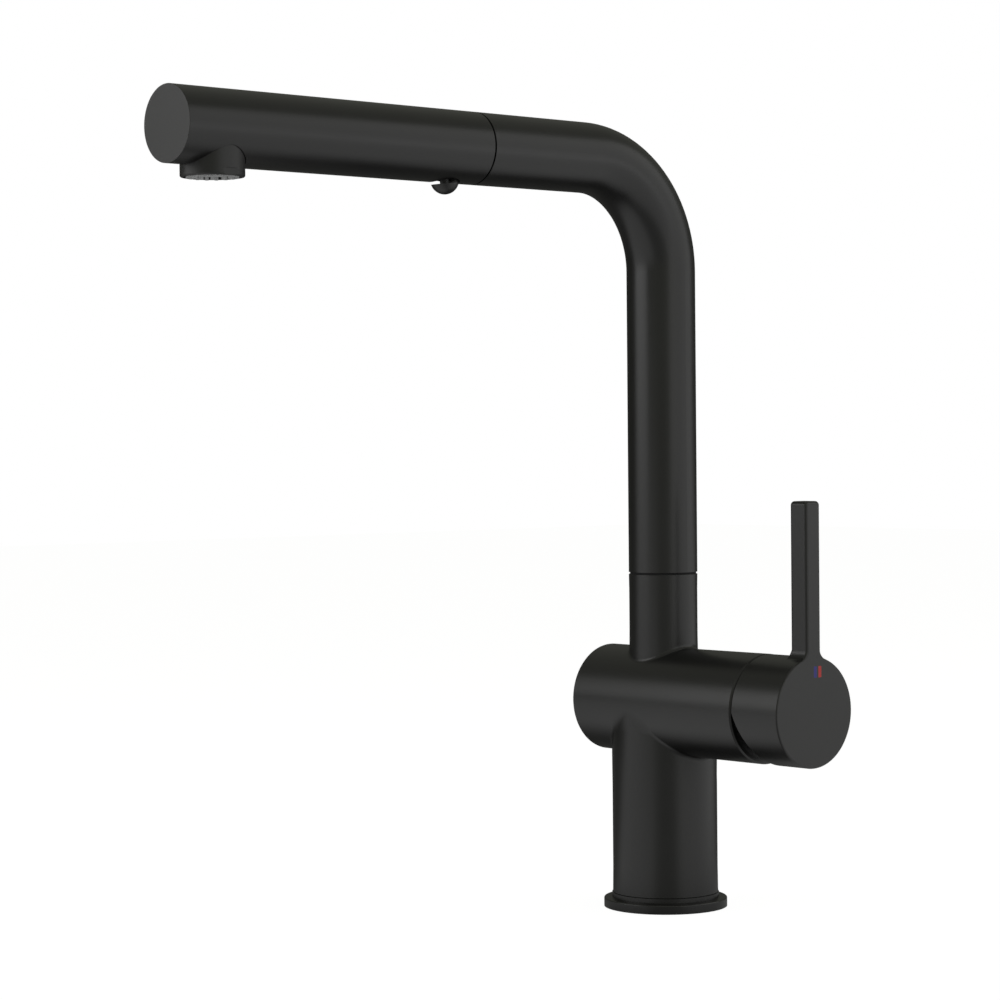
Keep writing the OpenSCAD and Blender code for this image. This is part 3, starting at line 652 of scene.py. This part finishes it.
def barrel_ends(shell):
    """The rounded closed end, and the chamfered open end with its stepped bore."""
    axis_point = UPRIGHT * BARREL_Z
    shell.turned(axis_point, ALONG, [(BACK_X, 0.0), (BACK_X, BARREL_R - BARREL_EDGE)])
    leans = [(-math.cos(a), math.sin(a)) for a in quarter()]
    outline = [(BACK_X + BARREL_EDGE * (1 + d), BARREL_R - BARREL_EDGE * (1 - r)) for d, r in leans]
    shell.turned(axis_point, ALONG, outline, leans)
    shell.turned(axis_point, ALONG, [(FACE_X + d, r) for d, r in BORE])


def neck_and_socket(shell, neck_foot):
    """The neck's wall with the retaining screw's hole, its rounded top, the socket and the hose passage."""
    floor = NECK_TOP - SOCKET_DEPTH
    outside = screw_loop(NECK_R)
    inside = screw_loop(SOCKET_R)
    post_wall(shell, NECK_R, neck_foot, level_ring(NECK_R, NECK_TOP - TOP_EDGE), False, outside)
    leans = [(math.sin(a), math.cos(a)) for a in quarter()]
    outline = [(NECK_TOP - TOP_EDGE * (1 - d), NECK_R - TOP_EDGE * (1 - r)) for d, r in leans]
    shell.turned(ORIGIN, UPRIGHT, outline, leans)
    shell.turned(ORIGIN, UPRIGHT, [(NECK_TOP, NECK_R - TOP_EDGE), (NECK_TOP, SOCKET_R)])
    post_wall(shell, SOCKET_R, level_ring(SOCKET_R, floor), level_ring(SOCKET_R, NECK_TOP), True, inside)
    passage = [(floor, SOCKET_R), (floor, HOSE_PASSAGE_R), (SPIGOT_Z, HOSE_PASSAGE_R)]
    shell.turned(ORIGIN, UPRIGHT, passage)
    inward = [UPRIGHT * SCREW_Z - p * (1, 0, 1) for p in outside]
    loops = [loop + loop[:1] for loop in (outside, inside, inward)]
    shell.strip(loops[:2], [loops[2], loops[2]])


def underside(shell):
    """The spigot in the flange, and the ports and the stud's hole in the column's underside."""
    shell.turned(ORIGIN, UPRIGHT, [(SPIGOT_Z, SPIGOT_R), (COLUMN_FOOT, SPIGOT_R), (COLUMN_FOOT, COLUMN_R)])
    loops = [[tuple(p[:2]) for p in level_ring(r, 0.0)[:-1]] for r in (SPIGOT_R, HOSE_PASSAGE_R)]
    for x, y, radius, depth in UNDER_HOLES:
        loops.append([(x + radius * math.cos(t), y + radius * math.sin(t)) for t in UNDER_TURNS[:-1]])
        hole = [(SPIGOT_Z + depth, 0.0), (SPIGOT_Z + depth, radius), (SPIGOT_Z, radius)]
        shell.turned(np.array((x, y, 0.0)), UPRIGHT, hole, turns=UNDER_TURNS)
    shell.patch(loops, [], lambda uv: (np.array((uv[0], uv[1], SPIGOT_Z)), -UPRIGHT))


def body_casting():
    """The mixer's casting: column, barrel and neck run into each other with rolled fillets."""
    shell = Shell()
    neck, neck_normals = fillet(NECK_R, NECK_FILLET, 1)
    column, column_normals = fillet(COLUMN_R, COLUMN_FILLET, -1)
    shell.strip(neck, neck_normals)
    shell.strip(column, column_normals)
    barrel_wall(shell, [neck[-1], column[-1]])
    barrel_ends(shell)
    post_wall(shell, COLUMN_R, level_ring(COLUMN_R, COLUMN_FOOT), column[0], False)
    neck_and_socket(shell, neck[0])
    underside(shell)
    return piece(shell.mesh("body_casting"), "mixer", "satin_black", "mixer_body")


# ---- the lever, in millimetres about the barrel's axis
CAP_LOW = low("lever_handle") / MM
CAP_HIGH = high("lever_handle") / MM
CAP_R = CAP_HIGH[1]
CAP_X = CAP_LOW[0]
CAP_FACE = CAP_HIGH[0]
BLADE_TIP = CAP_HIGH[2] - BARREL_Z
BLADE_HALF = 4.15
BLADE_BACK = CAP_FACE - 8.7
ROOT_FILLET = 4.0
TIP_ROUND = 1.6
CAP_EDGE = 0.75
BLADE_EDGE = 1.4
BACK_FILLET = 3.0
CAVITY_R = CAP_R - 3.2
CAVITY_FLOOR = CAP_FACE - 5.4
BOSS_R = 7.5
BOSS_X = CAP_X + 3.7
STEM_HALF = 3.52
STEM_END = CAP_FACE - 6.9
PLUG_HOLE_R = 2.92
PLUG_X = middle("lever_screw_plug")[0] / MM
RELIEF = math.tan(math.radians(21))
# The fillet behind the blade's root runs out over this share of the root's half width, towards its two ends
ROOT_RUNOUT = 0.7
MARK_CORNER = 0.3
# Inner points of the cap's walls: the first one's distance from the cap's open end, and their spacing
WALL_INSET = 2.0
WALL_STEP = 3.0
ROOT_Z = math.sqrt((CAP_R + ROOT_FILLET) ** 2 - (BLADE_HALF + ROOT_FILLET) ** 2)
ROOT_ANGLE = math.atan2(BLADE_HALF + ROOT_FILLET, ROOT_Z)
# Points on the cap from the root to its side, below its axis, and across the root
SHOULDER_POINTS = 30
BELOW_POINTS = 73
ROOT_POINTS = 33
# Their angles: down one side from the root, round below and up the other side; across the root; and all
LOWER = np.concatenate((
    np.linspace(math.pi / 2 + ROOT_ANGLE, math.pi, SHOULDER_POINTS)[:-1],
    np.linspace(math.pi, 2 * math.pi, BELOW_POINTS),
    np.linspace(2 * math.pi, 2.5 * math.pi - ROOT_ANGLE, SHOULDER_POINTS)[1:],
))
UPPER = np.linspace(math.pi / 2 - ROOT_ANGLE, math.pi / 2 + ROOT_ANGLE, ROOT_POINTS)
AROUND = np.concatenate((UPPER, LOWER[1:]))
ANGLE_SLACK = 1e-6


def across(x, y, rise):
    """A point of the lever from its place along the barrel's axis and its place square to it."""
    return np.array((x, y, BARREL_Z + rise))


def way(y, rise):
    """A direction square to the barrel's axis."""
    return np.array((0.0, y, rise))


def spoke(angle):
    return way(math.cos(angle), math.sin(angle))


def on_cap(x, radius, angle):
    """A point of the lever from its place along the barrel's axis, its radius and its angle."""
    return across(x, radius * math.cos(angle), radius * math.sin(angle))


def on_plane(x, facing):
    """Sets flat regions on the plane at x, looking along facing."""
    return lambda uv: (across(x, *uv), facing)


def flat_loop(points):
    """Points of the lever as seen along the barrel's axis."""
    return [tuple(p[1:] - (0, BARREL_Z)) for p in points]


def blade_outline():
    """From the cap's rim up one side of the blade, over its tip and down the other.

    Each entry is a point, its normal and its share of the blade's full edge radius."""
    side = []
    steps = 16
    side_points = 12
    centre = np.array((BLADE_HALF + ROOT_FILLET, ROOT_Z))
    for i in range(steps + 1):
        turn = ROOT_ANGLE + (math.pi / 2 - ROOT_ANGLE) * i / steps
        normal = np.array((math.sin(turn), math.cos(turn)))
        side.append((centre - normal * ROOT_FILLET, normal, i / steps))
    for rise in np.linspace(ROOT_Z, BLADE_TIP - TIP_ROUND, side_points)[1:]:
        side.append((np.array((BLADE_HALF, rise)), np.array((1.0, 0.0)), 1.0))
    corner = np.array((BLADE_HALF - TIP_ROUND, BLADE_TIP - TIP_ROUND))
    for angle in quarter(8)[1:]:
        normal = np.array((math.cos(angle), math.sin(angle)))
        side.append((corner + normal * TIP_ROUND, normal, 1.0))
    flip = np.array((-1.0, 1.0))
    return side + [(point * flip, normal * flip, share) for point, normal, share in reversed(side)]


def edge_rows(outline, width, x_edge, facing):
    """Rows of points over a rounded edge, from the side wall to the face at x_edge. facing is 1 or -1."""
    rows = []
    normals = []
    for angle in quarter(5):
        back = 1 - math.sin(angle)
        inset = 1 - math.cos(angle)
        rows.append([across(x_edge - facing * e * back, *(p - n * e * inset))
                     for (p, n, _), e in zip(outline, width)])
        normals.append([way(*n) * math.cos(angle) + ALONG * facing * math.sin(angle) for _, n, _ in outline])
    return rows, normals


def cap_wall(shell, radius, angles, back, front, ends, inward, holed=True):
    """The cap's wall over a range of angles, between two curves, with the plug's hole through it."""
    sign = -1.0 if inward else 1.0

    def place(uv):
        out = spoke(uv[1] / radius)
        return across(uv[0], 0.0, 0.0) + out * radius, out * sign

    loop = [(x, a * radius) for x, a in zip(back, angles)]
    loop += [(x, angles[-1] * radius) for x in ends[1:-1]]
    loop += [(x, a * radius) for x, a in zip(front[::-1], angles[::-1])]
    loop += [(x, angles[0] * radius) for x in ends[-2:0:-1]]
    loops = [loop]
    if holed:
        loops.append(plug_hole(radius)[0])
    alongs = np.arange(CAP_X + WALL_INSET, CAP_FACE, WALL_STEP)
    inner = [(x, a * radius) for x in alongs for a in angles[2:-2:3]]
    shell.patch(loops, inner, place)


def plug_hole(radius):
    """The plug's hole where it meets a wall of the cap: unrolled, and in space."""
    flat = []
    solid = []
    for turn in HOLE_TURNS:
        y = PLUG_HOLE_R * math.sin(turn)
        x = PLUG_X + PLUG_HOLE_R * math.cos(turn)
        angle = 1.5 * math.pi + math.asin(y / radius)
        flat.append((x, angle * radius))
        solid.append(on_cap(x, radius, angle))
    return flat, solid


def relieved(radius, angles):
    """The cap's inner end: square above the axis, leaning back below it."""
    return [CAP_X - min(0.0, radius * math.sin(a)) * RELIEF for a in angles]


def rounded_bar(node):
    """A mark's outline, from its node's box: a rectangle with small round corners, about the cap's axis."""
    (y0, z0), (y1, z1) = (np.array(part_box(node)[i])[1:] / MM - (0, BARREL_Z) for i in (0, 1))
    loop = []
    for y, z, start in ((y1, z1, 0.0), (y0, z1, 0.5), (y0, z0, 1.0), (y1, z0, 1.5)):
        inset_y = math.copysign(MARK_CORNER, y - (y0 + y1) / 2)
        inset_z = math.copysign(MARK_CORNER, z - (z0 + z1) / 2)
        centre = np.array((y - inset_y, z - inset_z))
        for angle in quarter(3):
            turn = start * math.pi + angle
            loop.append(tuple(centre + MARK_CORNER * np.array((math.cos(turn), math.sin(turn)))))
    return loop


def whole_outline(blade):
    """The blade's outline closed by the cap's rim, which has no share of the blade's edge."""
    rim = []
    for a in LOWER[1:-1]:
        normal = np.array((math.cos(a), math.sin(a)))
        rim.append((normal * CAP_R, normal, 0.0))
    return blade + rim + blade[:1]


def lever_front(shell, outline, width):
    """The front face with its rounded edge, and the hollows for the two marks."""
    rows, normals = edge_rows(outline, width, CAP_FACE, 1)
    shell.strip(rows, normals)
    marks = [rounded_bar(node) for node in ("cold_mark", "hot_mark")]
    floor_x = low("cold_mark")[0] / MM
    shell.patch([flat_loop(rows[-1][:-1])] + marks, [], on_plane(CAP_FACE, ALONG))
    for loop in marks:
        shell.patch([loop], [], on_plane(floor_x, ALONG))
        centre = np.mean(loop, axis=0)
        closed = loop + loop[:1]
        inward = [way(*(centre - p)) for p in closed]
        shell.strip([[across(x, *p) for p in closed] for x in (CAP_FACE, floor_x)], [inward, inward])


def blade_walls(shell, blade, front_width):
    """The blade's side walls and its rounded back edge; returns the outline of its back face."""
    back_width = [BLADE_EDGE * share**3 for _, _, share in blade]
    rows = []
    for k in np.linspace(0, 1, 4):
        rows.append([across((1 - k) * (BLADE_BACK + b) + k * (CAP_FACE - f), *p)
                     for (p, _, _), b, f in zip(blade, back_width, front_width)])
    shell.strip(rows, [[way(*n) for _, n, _ in blade]] * len(rows))
    rows, normals = edge_rows(blade, back_width, BLADE_BACK, -1)
    shell.strip(rows, normals)
    return flat_loop(rows[-1])


def root_balls():
    """The fillet's radius behind the blade's root, running out to nothing at both ends of the root."""
    insets = [max(1 - abs(a - math.pi / 2) / ROOT_ANGLE, 0.0) for a in UPPER]
    return [BACK_FILLET * min(1.0, inset / ROOT_RUNOUT) ** 3 for inset in insets]


def blade_back(shell, back_loop, balls):
    """The fillet behind the blade's root, and the blade's back face above it."""
    rows = []
    normals = []
    for angle in quarter(6):
        outs = [spoke(a) for a in UPPER]
        leans = [-math.sin(angle) * ALONG + math.cos(angle) * out for out in outs]
        rows.append([across(BLADE_BACK - ball, 0, 0) + out * (CAP_R + ball) - lean * ball
                     for out, lean, ball in zip(outs, leans, balls)])
        normals.append(leans)
    shell.strip(rows, normals)
    root = flat_loop(rows[-1])
    shell.patch([back_loop + root[-2:0:-1]], [], on_plane(BLADE_BACK, -ALONG))


def cap_outside(shell, balls):
    """The cap's outer wall, up to its front edge below and to the fillet behind the blade above."""
    behind = list(np.linspace(CAP_X, BLADE_BACK, 8))
    beside = behind + list(np.linspace(BLADE_BACK, CAP_FACE - CAP_EDGE, 4))[1:]
    front = [CAP_FACE - CAP_EDGE] * len(LOWER)
    cap_wall(shell, CAP_R, LOWER, relieved(CAP_R, LOWER), front, beside, False)
    root = [BLADE_BACK - ball for ball in balls]
    cap_wall(shell, CAP_R, UPPER, [CAP_X] * len(UPPER), root, behind, False, holed=False)


def cap_end(shell):
    """The cap's open end between its two walls: square above the axis, leaning back below it."""
    rings = [[on_cap(x, r, a) for x, a in zip(relieved(r, AROUND), AROUND)] for r in (CAP_R, CAVITY_R)]
    tilt = -(ALONG + way(0.0, RELIEF))
    for half_turn, normal in enumerate((-ALONG, tilt, -ALONG)):
        first = half_turn * math.pi - ANGLE_SLACK
        last = (half_turn + 1) * math.pi + ANGLE_SLACK
        run = np.flatnonzero((AROUND >= first) & (AROUND <= last))
        shell.strip([[ring[i] for i in run] for ring in rings], [[normal] * len(run)] * 2)


def cap_cavity(shell):
    """The cavity's wall, and the plug's hole through the cap below it."""
    ends = list(np.linspace(CAP_X, CAVITY_FLOOR, 6))
    floor = [CAVITY_FLOOR] * len(AROUND)
    cap_wall(shell, CAVITY_R, AROUND, relieved(CAVITY_R, AROUND), floor, ends, True)
    holes = [plug_hole(r)[1] for r in (CAP_R, CAVITY_R)]
    centre = np.mean(holes[0], axis=0)
    holes = [hole + hole[:1] for hole in holes]
    inward = [(centre - p) * (1, 1, 0) for p in holes[0]]
    shell.strip(holes, [inward, inward])


def cap_boss(shell):
    """The cavity's floor, and the boss on it with the square hole for the spindle."""
    outs = [spoke(a) for a in AROUND]
    rings = [[across(x, 0, 0) + out * r for out in outs]
             for x, r in ((CAVITY_FLOOR, CAVITY_R), (CAVITY_FLOOR, BOSS_R), (BOSS_X, BOSS_R))]
    shell.strip(rings[:2], [[-ALONG] * len(outs)] * 2)
    shell.strip(rings[1:], [outs, outs])
    square = [(STEM_HALF * y, STEM_HALF * z) for y, z in ((1, 1), (-1, 1), (-1, -1), (1, -1))]
    shell.patch([flat_loop(rings[2][:-1]), square], [], on_plane(BOSS_X, -ALONG))
    shell.patch([square], [], on_plane(STEM_END, -ALONG))
    for (y0, z0), (y1, z1) in zip(square, square[1:] + square[:1]):
        facing = way(-(y0 + y1), -(z0 + z1))
        shell.strip([[across(x, y0, z0), across(x, y1, z1)] for x in (BOSS_X, STEM_END)], [[facing] * 2] * 2)


def lever_casting():
    """The lever's cap and blade as one casting, its edges rounded and its root filleted all round."""
    shell = Shell()
    blade = blade_outline()
    outline = whole_outline(blade)
    front_width = [CAP_EDGE + (BLADE_EDGE - CAP_EDGE) * smooth_step(share) for _, _, share in outline]
    balls = root_balls()
    lever_front(shell, outline, front_width)
    blade_back(shell, blade_walls(shell, blade, front_width), balls)
    cap_outside(shell, balls)
    cap_end(shell)
    cap_cavity(shell)
    cap_boss(shell)
    return piece(shell.mesh("lever_casting"), "lever", "cap_black", "lever_handle")


# ---- the pull-out hose
HOSE_R = high("hose_riser")[0]
HOSE_FOOT = low("hose_riser")[2]
HOSE_LEVEL = middle("hose_lead")[2]
# The rigid lead starts this far past the end of the bend
LEAD_START = 0.2 * MM
HOSE_BEND_R = -high("hose_lead")[1] - LEAD_START
HOSE_END = -low("hose_lead")[1]
HOSE_DRAW = farthest("head_pull")
HOSE_SIDES = 48
RISER_STEPS = 7
BEND_STEPS = 32
LEVEL_STEPS = 96


def hose_stations():
    """Places down the hose's middle: point, direction, and length from its foot once drawn right out."""
    bend_start = HOSE_LEVEL - HOSE_BEND_R
    stations = [(UPRIGHT * z, UPRIGHT, z - HOSE_FOOT)
                for z in np.linspace(HOSE_FOOT, bend_start, RISER_STEPS + 1)]
    for angle in np.linspace(0.0, math.pi / 2, BEND_STEPS + 1)[1:]:
        out = -HOSE_BEND_R * (1 - math.cos(angle))
        point = np.array((0.0, out, bend_start + HOSE_BEND_R * math.sin(angle)))
        direction = np.array((0.0, -math.sin(angle), math.cos(angle)))
        stations.append((point, direction, bend_start - HOSE_FOOT + HOSE_BEND_R * angle))
    level_start = stations[-1][2]
    for share in np.linspace(0.0, 1.0, LEVEL_STEPS + 1)[1:]:
        run = share * (HOSE_END - HOSE_BEND_R)
        length = level_start + run + smooth_step(share) * HOSE_DRAW
        stations.append((np.array((0.0, -HOSE_BEND_R - run, HOSE_LEVEL)), np.array((0.0, -1.0, 0.0)), length))
    return stations


def hose_ring(mesh, point, direction):
    """A ring of vertices square to the hose's direction."""
    up = np.cross(direction, ALONG)
    turns = [2 * math.pi * i / HOSE_SIDES for i in range(HOSE_SIDES)]
    return [mesh.verts.new(point + (ALONG * math.cos(t) + up * math.sin(t)) * HOSE_R) for t in turns]


def braided_hose():
    """One hose from the base to its connector, laid in its rest place; the real hose draws out of the spout with
    the head.

    Its map counts turns of its girth both ways, with the drawn-out length along it."""
    mesh = bmesh.new()
    braid_map = mesh.loops.layers.uv.new("braid")
    girth = 2 * math.pi * HOSE_R
    stations = hose_stations()
    rings = [hose_ring(mesh, point, direction) for point, direction, _ in stations]
    for (first, second), (start, end) in zip(zip(rings, rings[1:]), zip(stations, stations[1:])):
        for i in range(HOSE_SIDES):
            j = (i + 1) % HOSE_SIDES
            wall = mesh.faces.new((first[i], first[j], second[j], second[i]))
            corners = ((i, start[2]), (i + 1, start[2]), (i + 1, end[2]), (i, end[2]))
            for loop, (side, length) in zip(wall.loops, corners):
                loop[braid_map].uv = (side / HOSE_SIDES, length / girth)
    for ring, length in ((rings[0], stations[0][2]), (rings[-1], stations[-1][2])):
        cap = mesh.faces.new(ring)
        for i, loop in enumerate(cap.loops):
            loop[braid_map].uv = (i / HOSE_SIDES, length / girth)
        for edge in cap.edges:
            edge.smooth = False
    bmesh.ops.recalc_face_normals(mesh, faces=mesh.faces)
    for face in mesh.faces:
        face.smooth = True
    data = bpy.data.meshes.new("braided_hose")
    mesh.to_mesh(data)
    mesh.free()
    hose = bpy.data.objects.new("braided_hose", data)
    link(hose)
    data.materials.append(MATERIALS["hose_braid"])
    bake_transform(hose)
    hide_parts("hose_riser", "hose_lead")


# ---- stage, light and camera
# Camera: place in metres, angles in radians, lens and sensor in millimetres
CAMERA_PLACE = (0.8259, -0.8248, 0.1887)
CAMERA_YAW = -0.843
CAMERA_PITCH = -0.019
CAMERA_ROLL = -0.009
LENS = 102.65
SENSOR = 36.0
NEAR_CLIP = 0.05

# Soft boxes: angle to the right of the camera, distance and rise from the object's middle, size, radiance
SOFT_BOXES = {
    "soft_left": ((-76, 1.3, 0.4), (1.2, 0.76), 1.78),
    "soft_right": ((72, 1.3, 0.48), (2.8, 1.25), 0.8),
    "soft_top": ((0, 0.0, 1.5), (1.2, 1.2), 0.22),
}

# The floor: half its side, its own colour and roughness, and how white the camera sees it
FLOOR_HALF = 4.0
FLOOR_GREY = (0.12, 0.12, 0.12, 1.0)
FLOOR_ROUGHNESS = 0.9
FLOOR_SEEN = 0.95
# Its glow in glossy surfaces, added at its brightest and everywhere, and its glow on matt surfaces
LIT_FLOOR = 0.7
DARK_FLOOR = 0.03
SOFT_FLOOR = 0.3
# Distances over which its glow grows, out from the barrel's side and from the arm's
LIT_LEFT = (0.0, 0.08)
LIT_RIGHT = (-0.05, 0.15)
# A line on the left towards the back, and the distances over which the glow ends there
LEFT_END = (0.8, -1.0, 0.0)
LIT_END = (-0.15, 0.0)
# The camera's side of the object, cosines of the angle from it over which the floor dims, and what is left
TO_CAMERA = (0.7467, -0.665, 0.0)
LIT_FRONT = (0.86, 0.97)
FRONT_PART = 0.3

# The room: its light all round, overhead and in front, and how bright its white is in glossy surfaces
ROOM_AMBIENT = 0.02
ROOM_OVERHEAD = 0.27
ROOM_ADDED_FRONT = 0.33
WALL_MIRRORED = 0.03
# Cosines of the angle from the camera's side over which the room brightens, and the tint of its light
ROOM_FRONT = (0.5, 0.97)
ROOM_TINT = (0.98, 1.0, 0.86, 1.0)
WHITE = (1.0, 1.0, 1.0, 1.0)


def lamp(name, place, target, width, height, radiance):
    """A soft box turned towards a target. A radiance of 1 is as bright as white paper in full light."""
    light = bpy.data.lights.new(name, "AREA")
    light.shape = "RECTANGLE"
    light.size = width
    light.size_y = height
    light.energy = radiance * math.pi * width * height
    box = bpy.data.objects.new(name, light)
    box.location = place
    box.rotation_euler = (Vector(target) - Vector(place)).to_track_quat("-Z", "Y").to_euler()
    link(box)


def backdrop_glow(tree, seen, reflected):
    """Strength of the white backdrop: to the camera, and in glossy and transmitted rays."""
    rays = tree.add("ShaderNodeLightPath")
    glossy, through = (rays.outputs[f"Is {kind} Ray"] for kind in ("Glossy", "Transmission"))
    mirrored = tree.math("ADD", glossy, through, clamp=True)
    glow = tree.times(rays.outputs["Is Camera Ray"], seen)
    return rays, tree.plus(glow, tree.times(mirrored, reflected))


def fade(tree, value, limits, to=(0.0, 1.0)):
    """A smooth ramp between two limits."""
    ramp = tree.add("ShaderNodeMapRange", interpolation_type="SMOOTHSTEP")
    tree.join(value, ramp.inputs["Value"])
    for label, number in zip(("From Min", "From Max", "To Min", "To Max"), (*limits, *to)):
        ramp.inputs[label].default_value = number
    return ramp.outputs["Result"]


def dot(tree, place, direction):
    """How far a place lies along a direction."""
    along = tree.add("ShaderNodeVectorMath", operation="DOT_PRODUCT")
    tree.join(place, along.inputs[0])
    along.inputs[1].default_value = direction
    return along.outputs["Value"]


def to_camera(tree, place):
    """Cosine of the angle, at the object, between a place or direction and the camera's side."""
    unit = tree.add("ShaderNodeVectorMath", operation="NORMALIZE")
    tree.join(place, unit.inputs[0])
    return dot(tree, unit.outputs[0], TO_CAMERA)


def lit_sides(tree):
    """The floor's glow in glossy surfaces: bright under the two soft boxes, dim in front and behind."""
    place = object_coords(tree)
    split = tree.add("ShaderNodeSeparateXYZ")
    tree.join(place, split.inputs[0])
    left = fade(tree, tree.times(split.outputs["Y"], -1.0), LIT_LEFT)
    left = tree.times(left, fade(tree, dot(tree, place, LEFT_END), LIT_END))
    right = fade(tree, split.outputs["X"], LIT_RIGHT)
    front = fade(tree, to_camera(tree, place), LIT_FRONT, (1.0, FRONT_PART))
    sides = tree.times(tree.math("MAXIMUM", left, right), front)
    return tree.plus(tree.times(sides, LIT_FLOOR), DARK_FLOOR)


def white_floor(level):
    """A pale matt floor that takes the object's shadow, with a glow that makes it white to the camera."""
    mesh = bpy.data.meshes.new("floor")
    corners = [(x * FLOOR_HALF, y * FLOOR_HALF, level) for x, y in ((-1, -1), (1, -1), (1, 1), (-1, 1))]
    mesh.from_pydata(corners, [], [(0, 1, 2, 3)])
    floor = bpy.data.objects.new("floor", mesh)
    link(floor)
    material = bpy.data.materials.new("floor_white")
    tree = empty_tree(material)
    matt = tree.add("ShaderNodeBsdfPrincipled")
    matt.inputs["Base Color"].default_value = FLOOR_GREY
    matt.inputs["Roughness"].default_value = FLOOR_ROUGHNESS
    glow = tree.add("ShaderNodeEmission")
    rays, strength = backdrop_glow(tree, FLOOR_SEEN, lit_sides(tree))
    soft = tree.times(rays.outputs["Is Diffuse Ray"], SOFT_FLOOR)
    tree.join(tree.plus(strength, soft), glow.inputs["Strength"])
    both = tree.add("ShaderNodeAddShader")
    tree.join(matt.outputs[0], both.inputs[0])
    tree.join(glow.outputs[0], both.inputs[1])
    tree.join(both.outputs[0], tree.add("ShaderNodeOutputMaterial").inputs["Surface"])
    mesh.materials.append(material)


def world_light():
    """White where the camera sees it, and for all else a dim room that is brighter above and in front."""
    world = bpy.data.worlds.new("studio")
    bpy.context.scene.world = world
    tree = empty_tree(world)
    split = tree.add("ShaderNodeSeparateXYZ")
    heading = tree.add("ShaderNodeTexCoord").outputs["Generated"]
    tree.join(heading, split.inputs[0])
    rays, glow = backdrop_glow(tree, 1.0, WALL_MIRRORED)
    rise = tree.math("MULTIPLY", split.outputs["Z"], ROOM_OVERHEAD, clamp=True)
    limits = (ROOM_AMBIENT, ROOM_AMBIENT + ROOM_ADDED_FRONT)
    fill = fade(tree, to_camera(tree, heading), ROOM_FRONT, limits)
    unseen = tree.minus(1.0, rays.outputs["Is Camera Ray"])
    room = tree.times(tree.plus(rise, fill), unseen)
    light = tree.add("ShaderNodeBackground")
    colour = tree.add("ShaderNodeMix", data_type="RGBA")
    tree.join(rays.outputs["Is Camera Ray"], colour.inputs["Factor"])
    colour.inputs["A"].default_value = ROOM_TINT
    colour.inputs["B"].default_value = WHITE
    tree.join(colour.outputs["Result"], light.inputs["Color"])
    tree.join(tree.plus(glow, room), light.inputs["Strength"])
    tree.join(light.outputs[0], tree.add("ShaderNodeOutputWorld").inputs["Surface"])


def place_camera():
    """The camera's yaw goes from the y axis towards the x axis, its pitch up, its roll about the view."""
    camera = bpy.data.cameras.new("camera")
    camera.lens = LENS
    camera.sensor_width = SENSOR
    camera.clip_start = NEAR_CLIP
    holder = bpy.data.objects.new("camera", camera)
    turns = ((-CAMERA_YAW, "Z"), (math.pi / 2 + CAMERA_PITCH, "X"), (CAMERA_ROLL, "Z"))
    heading, tilt, roll = (Matrix.Rotation(angle, 4, axis) for angle, axis in turns)
    holder.matrix_world = Matrix.Translation(CAMERA_PLACE) @ heading @ tilt @ roll
    link(holder)
    bpy.context.scene.camera = holder


def from_camera(centre, angle, distance, rise):
    """A place round a centre, by its angle to the right of the camera as the camera sees it."""
    heading = CAMERA_YAW + math.pi - math.radians(angle)
    return centre + np.array((math.sin(heading) * distance, math.cos(heading) * distance, rise))


def light_the_stage():
    """A low soft box on the left of the camera's view, a tall one on the right, and a soft light above."""
    centre = (np.array(cad_low) + np.array(cad_high)) / 2
    for name, (place, size, radiance) in SOFT_BOXES.items():
        lamp(name, from_camera(centre, *place), centre, *size, radiance)
    white_floor(float(cad_low[2]))
    world_light()


bpy.context.scene.view_settings.view_transform = "Standard"
finish_cad_nodes()
body_casting()
lever_casting()
braided_hose()
light_the_stage()
place_camera()
